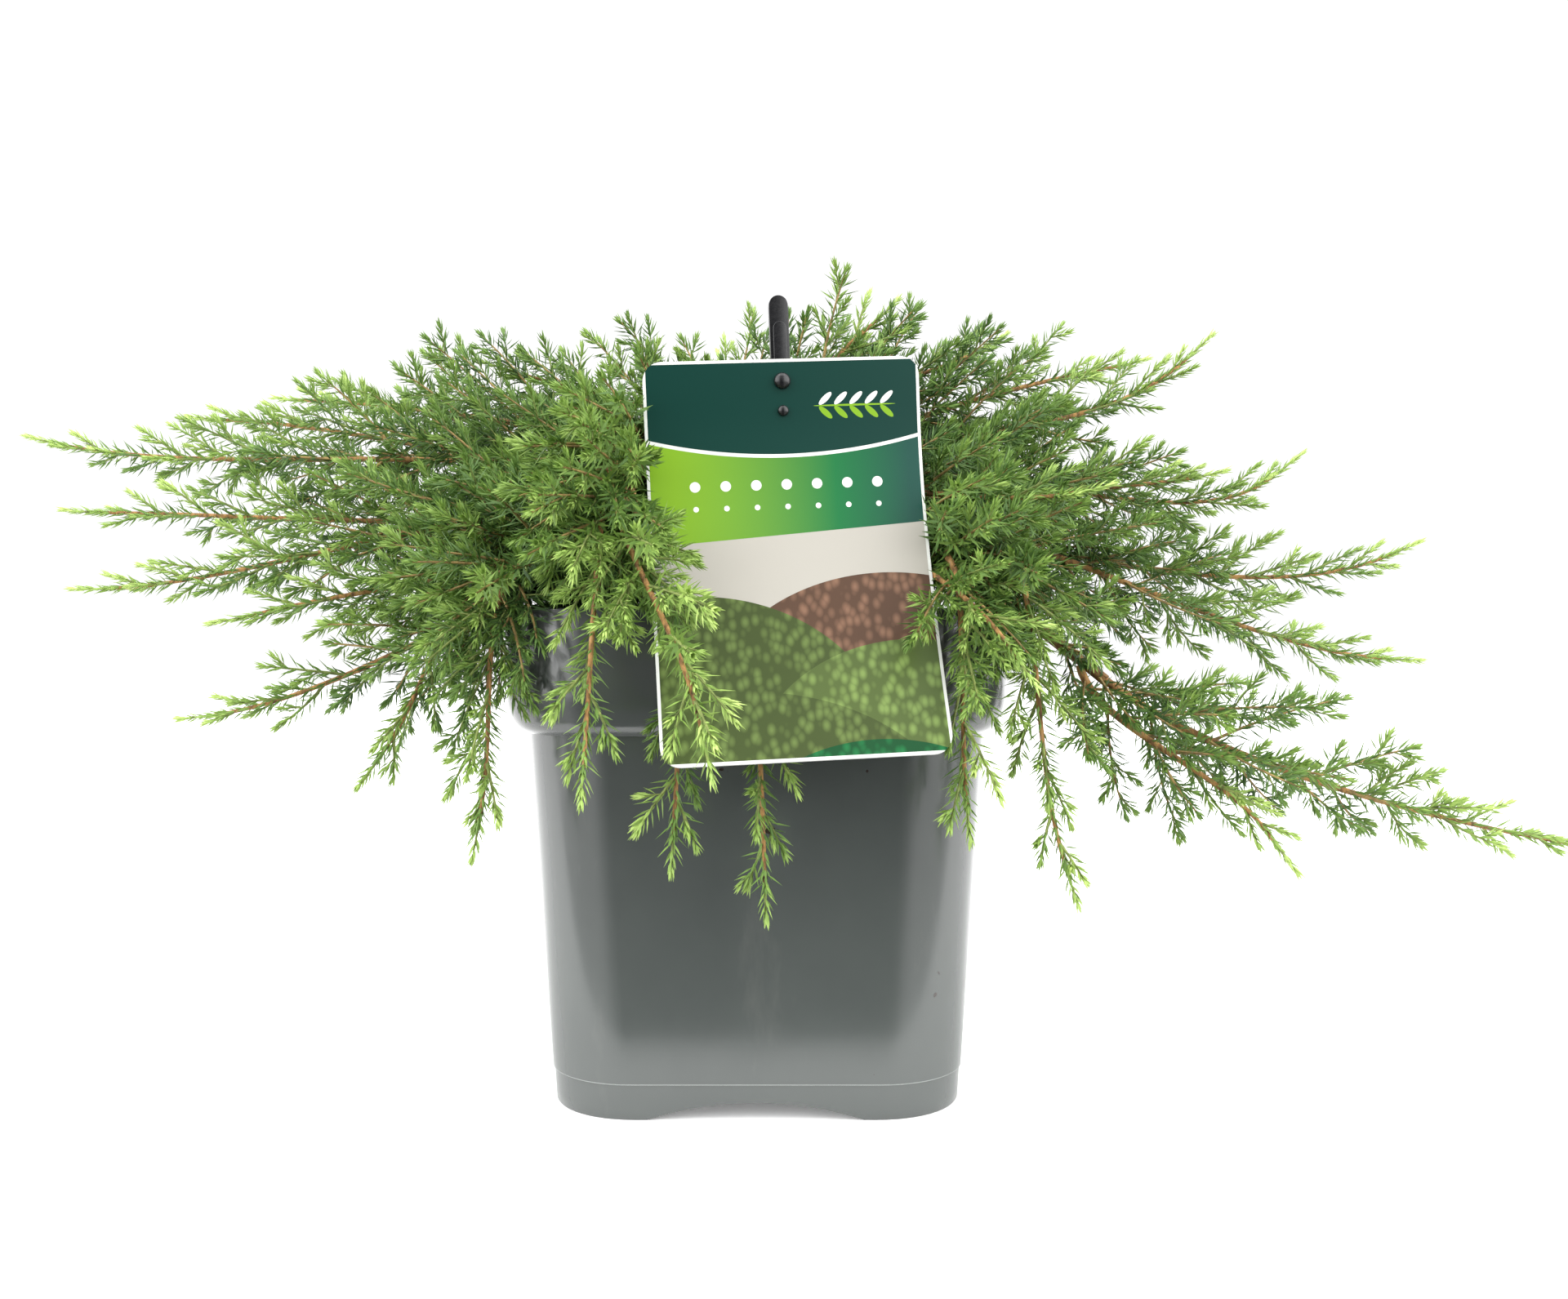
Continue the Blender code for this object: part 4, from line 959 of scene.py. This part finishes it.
def stemCurve(mass, order, tips, t, b, s):
    tip = polar(mass["azimuth"], mass["reach"] * mm, mass["height"] * mm)
    azimuth, reach, height = mass.get("via", (0, 0, 0))
    over = polar(azimuth, reach * mm, height * mm) if reach else tip
    if "start" in mass:
        leave = heading(mass["azimuth"], s["trunkLeave"])
        foot = trunkPoint(t, mass["start"] * mm)
        start = foot + heading(mass["azimuth"], 0) * (trunkRadius(t, foot.z) + s["radius"] + s["clear"])
    else:
        along = (tips[-1] - tips[-2]).normalized()
        start, leave = tips[-1] + along * s["clear"], along
        if order:
            share = s["sideShare"][order]
            near = tips[-2].lerp(tips[-1], (share * 5) % 1)
            away = over - near
            out = (away - along * away.dot(along)).normalized()
            start = near + out * (b["radius"] + (b["tipRadius"] - b["radius"]) * share + s["clear"])
            leave = along * math.cos(s["sideLeave"]) + out * math.sin(s["sideLeave"])
    knots = [(start, leave * (over - start).length * 0.8)]
    if reach:
        pull = min((over - start).length, (tip - over).length)
        knots.append((over, (tip - start).normalized() * pull))
    last = knots[-1][0]
    azimuth = math.degrees(math.atan2(tip.y - last.y, tip.x - last.x))
    return [*knots, (tip, heading(azimuth, mass["pitch"]) * (tip - last).length * 0.9)]


def curvePoint(curve, share):
    spans = len(curve) - 1
    k = min(int(share * spans), spans - 1)
    return hermite(*curve[k], *curve[k + 1], share * spans - k)


def stemFrameAt(curve, share):
    here = curvePoint(curve, share)
    ahead = (curvePoint(curve, min(share + 0.02, 1)) - curvePoint(curve, max(share - 0.02, 0))).normalized()
    side = ahead.cross(up)
    side = side.normalized() if side.length > 0.05 else ahead.orthogonal().normalized()
    return here, ahead, side, side.cross(ahead)


def sideShoots(mass, name, length, k):
    draw = random.Random(name)
    count = round(length / k["spacing"])
    for i in range(count):
        share = 0.03 + 0.93 * (i + draw.uniform(0.2, 0.8)) / count
        turn = math.radians(k["turn"] * i + draw.uniform(-25, 25))
        lean = math.radians(56 - 26 * share + draw.uniform(-7, 7))
        hang = 0.86 + 0.14 * math.sin(turn)
        size = k["length"] * (1 - share) ** 0.8 * hang * mass["full"] + k["tipLength"]
        yield share, turn, lean, size * draw.uniform(0.8, 1.15), draw.uniform(-75, 75)


def bentPath(root, direction, bend, length, steps):
    # a twig that leaves in one direction and turns towards another
    end = (direction + bend).normalized()
    points = []
    for i in range(steps):
        share = i / (steps - 1)
        points.append(root + (direction * share + (end - direction) * share * share / 2) * length)
    return points


def clearPath(path, obstacles, margin):
    # how many points of a twig stay clear of the pot, the soil and the card
    for i in range(1, len(path)):
        step = path[i] - path[i - 1]
        hit = obstacles.ray_cast(path[i - 1], step.normalized(), step.length + margin)
        if hit[0] is not None:
            return i
        near = obstacles.find_nearest(path[i], margin * 0.8)
        if near[0] is not None:
            return i
    return len(path)


class Growth:
    # what the rule grows: twigs as paths with radii, and needles as rows of numbers
    def __init__(self):
        self.twigs = {kind: [] for kind in ("stem", *woods)}
        self.rows = []

    def addTwig(self, kind, path, start, end):
        radii = [start + (end - start) * i / (len(path) - 1) for i in range(len(path))]
        self.twigs[kind].append((path, radii))

    def addNeedles(self, path, tone, tipLift, draw, n, bareShare=0.0, young=0.0, zone=None):
        spots = np.array(path)
        steps = np.linalg.norm(np.diff(spots, axis=0), axis=1)
        marks = np.concatenate(([0], np.cumsum(steps)))
        total = marks[-1]
        first = max(bareShare * total, 0.6 * n["apart"])
        places = np.arange(first, total, n["apart"])
        if len(places) == 0:
            return
        # closer whorls in the last stretch make the bud-like tips
        tip = np.arange(max(first, total - 0.6 * n["tipZone"]), total, n["tipApart"])
        places = np.concatenate((places[places < total - 0.6 * n["tipZone"]], tip, [total]))
        here = np.stack([np.interp(places, marks, spots[:, k]) for k in range(3)], axis=1)
        run = np.clip(np.searchsorted(marks, places, side="right") - 1, 0, len(steps) - 1)
        ahead = (np.diff(spots, axis=0) / steps[:, None])[run]
        helper = np.where(np.abs(ahead[:, 2:3]) < 0.9, [[0.0, 0.0, 1.0]], [[1.0, 0.0, 0.0]])
        side = np.cross(ahead, helper)
        side /= np.linalg.norm(side, axis=1)[:, None]
        other = np.cross(ahead, side)
        count = len(places)
        toTip = np.minimum(1, (total - places) / (zone or n["tipZone"]))[:, None]
        rng = np.random.default_rng(draw.randrange(1 << 30))
        turn = np.arange(count)[:, None] * (math.pi / 3) + np.array([0, 1, 2])[None, :] * (2 * math.pi / 3)
        turn = turn + rng.uniform(-0.25, 0.25, turn.shape) + draw.uniform(0, 6.28)
        wide = n["open"] - n["closing"] * young
        opened = np.radians(n["closed"] + (wide - n["closed"]) * toTip + rng.uniform(-8, 8, turn.shape))
        long = n["length"] * (1 - n["youngLength"] * young)
        size = (n["tipLength"] + (long - n["tipLength"]) * toTip) * rng.uniform(0.82, 1.12, turn.shape)
        radial = side[:, None, :] * np.cos(turn)[..., None] + other[:, None, :] * np.sin(turn)[..., None]
        along = ahead[:, None, :] * np.cos(opened)[..., None] + radial * np.sin(opened)[..., None]
        flat = ahead[:, None, :] * np.sin(opened)[..., None] - radial * np.cos(opened)[..., None]
        across = np.cross(along, flat)
        spread = toneShape["needleSpread"]
        tones = tone + young + tipLift * (1 - toTip) + rng.uniform(-spread, spread, turn.shape)
        base = np.broadcast_to(here[:, None, :], along.shape) + radial * 0.0002
        rows = np.concatenate([base, along, across, size[..., None], tones[..., None]], axis=2)
        self.rows.append(rows.reshape(-1, 11))


def growTwigs(growth, path, length, tone, young, draw, obstacles):
    # sub-shoots, which alternate round a shoot
    w, t = twigShape, toneShape
    count = int(length * 0.8 * (1 - young) / w["spacing"])
    for j in range(count):
        share = 0.12 + 0.78 * (j + draw.uniform(0.2, 0.8)) / count
        spot = share * (len(path) - 1)
        k = min(int(spot), len(path) - 2)
        root = path[k].lerp(path[k + 1], spot - k)
        ahead = (path[k + 1] - path[k]).normalized()
        side = ahead.orthogonal().normalized()
        turn = math.radians(137.5 * j + draw.uniform(-30, 30))
        lean = math.radians(w["lean"] + draw.uniform(-9, 9))
        out = side * math.cos(turn) + ahead.cross(side) * math.sin(turn)
        direction = (ahead * math.cos(lean) + out * math.sin(lean)).normalized()
        low, high = w["share"]
        size = (low + (high - low) * (1 - share)) * length * draw.uniform(0.75, 1.15)
        size = max(size, w["shortest"])
        twig = bentPath(root, direction, ahead * 0.35 + up * 0.12, size, w["steps"])
        kept = clearPath(twig, obstacles, w["clear"])
        if kept < len(twig):
            continue
        growth.addTwig("green", twig, w["radius"], w["tipRadius"])
        twigTone = tone + t["twig"] + draw.uniform(-t["twigSpread"], t["twigSpread"])
        growth.addNeedles(twig, twigTone, t["twigTip"], draw, needleShape, young=young)


def growMass(growth, number, mass, order, obstacles):
    place = mass.get("bough", "trunk")
    name = f"foliage_{number:02d}_{place}"
    curve = stemCurve(mass, order, boughTips.get(place), trunkShape, boughShape, stemShape)
    knots = [curvePoint(curve, i / 6) for i in range(7)]
    length = sum((b - a).length for a, b in zip(knots, knots[1:]))
    rings = stemShape["rings"]
    stem = [curvePoint(curve, i / (rings - 1)) for i in range(rings)]
    growth.addTwig("stem", stem, stemShape["radius"], stemShape["tipRadius"])
    draw = random.Random(name + "_fine")
    k = shootShape
    tones = toneShape
    fresh = mass.get("fresh", 0)
    hangs = "via" in mass
    youth = k["hangYouth"] if hangs else 1
    limit = k["hangLongest"] if hangs else k["longest"]
    bare = k["hangBare"] if hangs else k["bare"]
    tone, lift = tones["stem"] + fresh, tones["stemTip"] * youth
    growth.addNeedles(stem, tone, lift, draw, needleShape, bareShare=bare, zone=k["slimZone"])
    for share, turn, lean, size, _ in sideShoots(mass, name, length, k):
        size = min(size, limit)
        growShoot(growth, stemFrameAt(curve, share), share, turn, lean, size, mass, draw, obstacles)
    # filler shoots in between, where the photo shows the plant closed
    for j in range(round(mass.get("filled", k["filled"]) * length / k["spacing"])):
        share = draw.uniform(0.02, 0.7)
        turn, lean = draw.uniform(0, 6.28), math.radians(draw.uniform(35, 60))
        size = (k["length"] * (1 - share) * mass["full"] + k["tipLength"]) * draw.uniform(0.6, 1)
        size = min(size, limit)
        growShoot(growth, stemFrameAt(curve, share), share, turn, lean, size, mass, draw, obstacles)
    here, ahead, _, _ = stemFrameAt(curve, k["endShare"])
    end = bentPath(here, ahead, up * 0.1, (1 - k["endShare"]) * length + k["past"], k["steps"])
    growth.addTwig("green", end, k["radius"], k["tipRadius"])
    tone = tones["end"] + youth + fresh
    growth.addNeedles(end, tone, tones["endTip"], draw, needleShape, young=youth, zone=k["past"])


def growShoot(growth, place, share, turn, lean, size, mass, draw, obstacles):
    # one side shoot with its needles and sub-shoots; slimmer, closer and lighter towards the end of its stem
    k = shootShape
    youth = k["hangYouth"] if "via" in mass else 1
    here, ahead, side, above = place
    out = side * math.cos(turn) + above * math.sin(turn)
    direction = (ahead * math.cos(lean) + out * math.sin(lean)).normalized()
    size *= k["growth"] * (1 - k["slimmer"] * youth * share**3)
    bend = ahead * k["follow"] + up * k["lift"] * draw.uniform(0.3, 1.3)
    path = bentPath(here, direction, bend, size, k["steps"])
    kept = clearPath(path, obstacles, k["clear"])
    if kept < len(path):
        size *= (kept - 1) / (len(path) - 1)
        if size < k["shortest"]:
            return
        path = bentPath(here, direction, bend, size, k["steps"])
    # painted light and shade: brighter further out and on top, darker underneath and inside; further out the
    # growth is also younger
    t = toneShape
    tone = t["inner"] + t["outwardLightAndYouth"] * share**1.1 + t["above"] * math.sin(turn) + mass.get("fresh", 0)
    tone += draw.uniform(-t["spread"], t["spread"])
    young = min(1, max(0, share - 0.5) * 2.2) * youth
    growth.addTwig("tan" if share < 0.55 else "green", path, k["radius"], k["tipRadius"])
    growth.addNeedles(path, tone, t["shootTip"], draw, needleShape, bareShare=k["shootBare"], young=young)
    growTwigs(growth, path, size, tone, young, draw, obstacles)


def growBough(growth, name, obstacles):
    # shoots on the outer part of a bough, which the photo shows leafy
    draw = random.Random("bough_" + name)
    knots = boughTips[name]
    length = sum((b - a).length for a, b in zip(knots, knots[1:]))
    bare = shootShape["boughFrom"]
    for j in range(round(length * (1 - bare) / shootShape["boughSpacing"])):
        along = 5 * (bare + (1 - bare) * draw.random())
        i = min(int(along), 4)
        here = knots[i].lerp(knots[i + 1], along - i)
        ahead = (knots[i + 1] - knots[i]).normalized()
        side = ahead.cross(up).normalized()
        place = (here, ahead, side, side.cross(ahead))
        size = shootShape["boughShoot"] * draw.uniform(0.6, 1.1)
        turn, lean = draw.uniform(0, 6.28), math.radians(draw.uniform(40, 65))
        growShoot(growth, place, 0.1, turn, lean, size, boughMass, draw, obstacles)


# Node trees that turn the grown paths and rows into meshes


def newTree(name, sockets):
    tree = bpy.data.node_groups.new(name, "GeometryNodeTree")
    tree.interface.new_socket(name="Geometry", in_out="INPUT", socket_type="NodeSocketGeometry")
    keys = {}
    for title, kind in sockets:
        keys[title] = tree.interface.new_socket(name=title, in_out="INPUT", socket_type=kind).identifier
    tree.interface.new_socket(name="Geometry", in_out="OUTPUT", socket_type="NodeSocketGeometry")
    entry = tree.nodes.new("NodeGroupInput")
    leave = tree.nodes.new("NodeGroupOutput")
    return tree, keys, entry, leave


def namedValue(tree, name, kind):
    node = tree.nodes.new("GeometryNodeInputNamedAttribute")
    node.data_type = kind
    node.inputs["Name"].default_value = name
    return node.outputs["Attribute"]


def needleTree():
    # one needle on each point, laid along one vector with its flat side across another
    tree, keys, entry, leave = newTree("needlesOnTwigs", (
        ("Needle", "NodeSocketObject"), ("Width", "NodeSocketFloat"), ("Thickness", "NodeSocketFloat"),
        ("Finish", "NodeSocketMaterial"),
    ))
    needle = tree.nodes.new("GeometryNodeObjectInfo")
    tree.links.new(entry.outputs["Needle"], needle.inputs["Object"])
    turn = tree.nodes.new("FunctionNodeAxesToRotation")
    turn.primary_axis = "Y"
    turn.secondary_axis = "X"
    tree.links.new(namedValue(tree, "along", "FLOAT_VECTOR"), turn.inputs[0])
    tree.links.new(namedValue(tree, "across", "FLOAT_VECTOR"), turn.inputs[1])
    scale = tree.nodes.new("ShaderNodeCombineXYZ")
    tree.links.new(entry.outputs["Width"], scale.inputs[0])
    tree.links.new(namedValue(tree, "size", "FLOAT"), scale.inputs[1])
    tree.links.new(entry.outputs["Thickness"], scale.inputs[2])
    spread = tree.nodes.new("GeometryNodeInstanceOnPoints")
    real = tree.nodes.new("GeometryNodeRealizeInstances")
    paint = tree.nodes.new("GeometryNodeSetMaterial")
    tree.links.new(entry.outputs["Geometry"], spread.inputs["Points"])
    tree.links.new(needle.outputs["Geometry"], spread.inputs["Instance"])
    tree.links.new(turn.outputs["Rotation"], spread.inputs["Rotation"])
    tree.links.new(scale.outputs[0], spread.inputs["Scale"])
    tree.links.new(spread.outputs[0], real.inputs[0])
    tree.links.new(real.outputs[0], paint.inputs["Geometry"])
    tree.links.new(entry.outputs["Finish"], paint.inputs["Material"])
    tree.links.new(paint.outputs[0], leave.inputs[0])
    return tree, keys


def twigTree():
    # a tapering tube along each path
    tree, keys, entry, leave = newTree("twigTubes", (
        ("Sides", "NodeSocketInt"), ("Finish", "NodeSocketMaterial"),
    ))
    curve = tree.nodes.new("GeometryNodeMeshToCurve")
    ring = tree.nodes.new("GeometryNodeCurvePrimitiveCircle")
    ring.inputs["Radius"].default_value = 1
    tube = tree.nodes.new("GeometryNodeCurveToMesh")
    real = tree.nodes.new("GeometryNodeRealizeInstances")
    paint = tree.nodes.new("GeometryNodeSetMaterial")
    tree.links.new(entry.outputs["Geometry"], curve.inputs["Mesh"])
    tree.links.new(entry.outputs["Sides"], ring.inputs["Resolution"])
    tree.links.new(curve.outputs[0], tube.inputs["Curve"])
    tree.links.new(ring.outputs["Curve"], tube.inputs["Profile Curve"])
    tree.links.new(namedValue(tree, "thick", "FLOAT"), tube.inputs["Scale"])
    tube.inputs["Fill Caps"].default_value = True
    tree.links.new(tube.outputs[0], real.inputs[0])
    tree.links.new(real.outputs[0], paint.inputs["Geometry"])
    tree.links.new(entry.outputs["Finish"], paint.inputs["Material"])
    tree.links.new(paint.outputs[0], leave.inputs[0])
    return tree, keys


def throughTree(name, mesh, tree, keys, values, drop):
    work = link(bpy.data.objects.new(name + "_work", mesh))
    nodes = work.modifiers.new("grow", "NODES")
    nodes.node_group = tree
    for title, value in values.items():
        nodes[keys[title]] = value
    made = applied(work)
    bpy.data.objects.remove(work)
    for title in drop:
        if title in made.attributes:
            made.attributes.remove(made.attributes[title])
    return made


def needleItem():
    # a needle a unit long: flat on top, keeled beneath, widest before its middle
    points = [(0, 0, 0), (-0.5, 0.4, 0.12), (0.5, 0.4, 0.12), (0, 0.42, -0.55), (0, 1, 0.1)]
    faces = [(0, 2, 1), (1, 2, 4), (0, 1, 3), (0, 3, 2), (3, 1, 4), (2, 3, 4)]
    return link(bpy.data.objects.new("needle_unit", meshOf("needle_unit", points, faces)))


def needleFinish(kind, colour):
    finish, _, shader = newMaterial(f"needles_{kind}", colour, 0.5)
    shader.inputs["Specular IOR Level"].default_value = 0.25
    return finish


def twigFinish(kind, colour):
    finish, tree, shader = newMaterial(f"twig_{kind}", colour, 0.7)
    mottle = objectPattern(tree, "ShaderNodeTexNoise", 300, detail=3)
    stops = ((0.32, tuple(0.55 * c for c in colour)), (0.68, tuple(1.45 * c for c in colour)))
    tree.links.new(ramp(tree, mottle.outputs["Fac"], stops), shader.inputs["Base Color"])
    addBump(tree, shader, mottle.outputs["Fac"], 0.4, 0.0003)
    return finish


def clearNeedles(rows, obstacles):
    # without the needles that would poke through the pot, the soil or the card
    keep = []
    for row in rows[:, :10].tolist():
        hit = obstacles.ray_cast(Vector(row[0:3]), Vector(row[3:6]), row[9])
        keep.append(hit[0] is None)
    return rows[np.array(keep)]


def buildNeedles(growth, n, obstacles):
    rows = clearNeedles(np.concatenate(growth.rows), obstacles)
    kinds = list(greens)
    band = np.clip(np.round(rows[:, 10]), 0, len(kinds) - 1).astype(int)
    tree, keys = needleTree()
    unit = needleItem()
    total = 0
    for number, kind in enumerate(kinds):
        chosen = rows[band == number]
        total += len(chosen)
        finish = needleFinish(kind, greens[kind])
        pieces = max(1, math.ceil(len(chosen) / n["pieceLimit"]))
        for part, some in enumerate(np.array_split(chosen, pieces), 1):
            if len(some) == 0:
                continue
            mesh = bpy.data.meshes.new("spots")
            mesh.vertices.add(len(some))
            mesh.vertices.foreach_set("co", some[:, 0:3].astype(np.float32).ravel())
            for title, columns in (("along", slice(3, 6)), ("across", slice(6, 9))):
                layer = mesh.attributes.new(title, "FLOAT_VECTOR", "POINT")
                layer.data.foreach_set("vector", some[:, columns].astype(np.float32).ravel())
            layer = mesh.attributes.new("size", "FLOAT", "POINT")
            layer.data.foreach_set("value", some[:, 9].astype(np.float32))
            values = dict(Needle=unit, Width=n["width"], Thickness=n["thick"], Finish=finish)
            name = f"needles_{kind}_{part}"
            made = throughTree(name, mesh, tree, keys, values, ("along", "across", "size"))
            finishPiece(name, made, [finish], foliageNodes)
    bpy.data.objects.remove(unit)
    print("needles:", total)


def buildTwigs(growth):
    tree, keys = twigTree()
    for kind, twigs in growth.twigs.items():
        points, edges, thick = [], [], []
        for path, radii in twigs:
            first = len(points)
            points += path
            thick += radii
            edges += [(first + i, first + i + 1) for i in range(len(path) - 1)]
        mesh = bpy.data.meshes.new("paths")
        mesh.from_pydata(points, edges, [])
        layer = mesh.attributes.new("thick", "FLOAT", "POINT")
        layer.data.foreach_set("value", thick)
        finish = barkFinish("stemBark", barkLook, 1.7) if kind == "stem" else twigFinish(kind, woods[kind])
        values = dict(Sides=7 if kind == "stem" else 3, Finish=finish)
        made = throughTree(f"twigs_{kind}", mesh, tree, keys, values, ("thick",))
        smooth = 70 if kind == "stem" else None
        finishPiece(f"twigs_{kind}", made, [finish], foliageNodes, smooth=smooth)
        print("twigs", kind, len(twigs), "triangles", sum(len(p.vertices) - 2 for p in made.polygons))


def growPlant():
    growth = Growth()
    obstacles = obstacleTree(keepClear)
    seen = {}
    for number, mass in enumerate(masses, 1):
        place = mass.get("bough", "trunk")
        growMass(growth, number, mass, seen.get(place, 0), obstacles)
        seen[place] = seen.get(place, 0) + 1
    for name in boughs:
        growBough(growth, name, obstacles)
    buildTwigs(growth)
    buildNeedles(growth, needleShape, obstacles)


growPlant()
print("foliage")
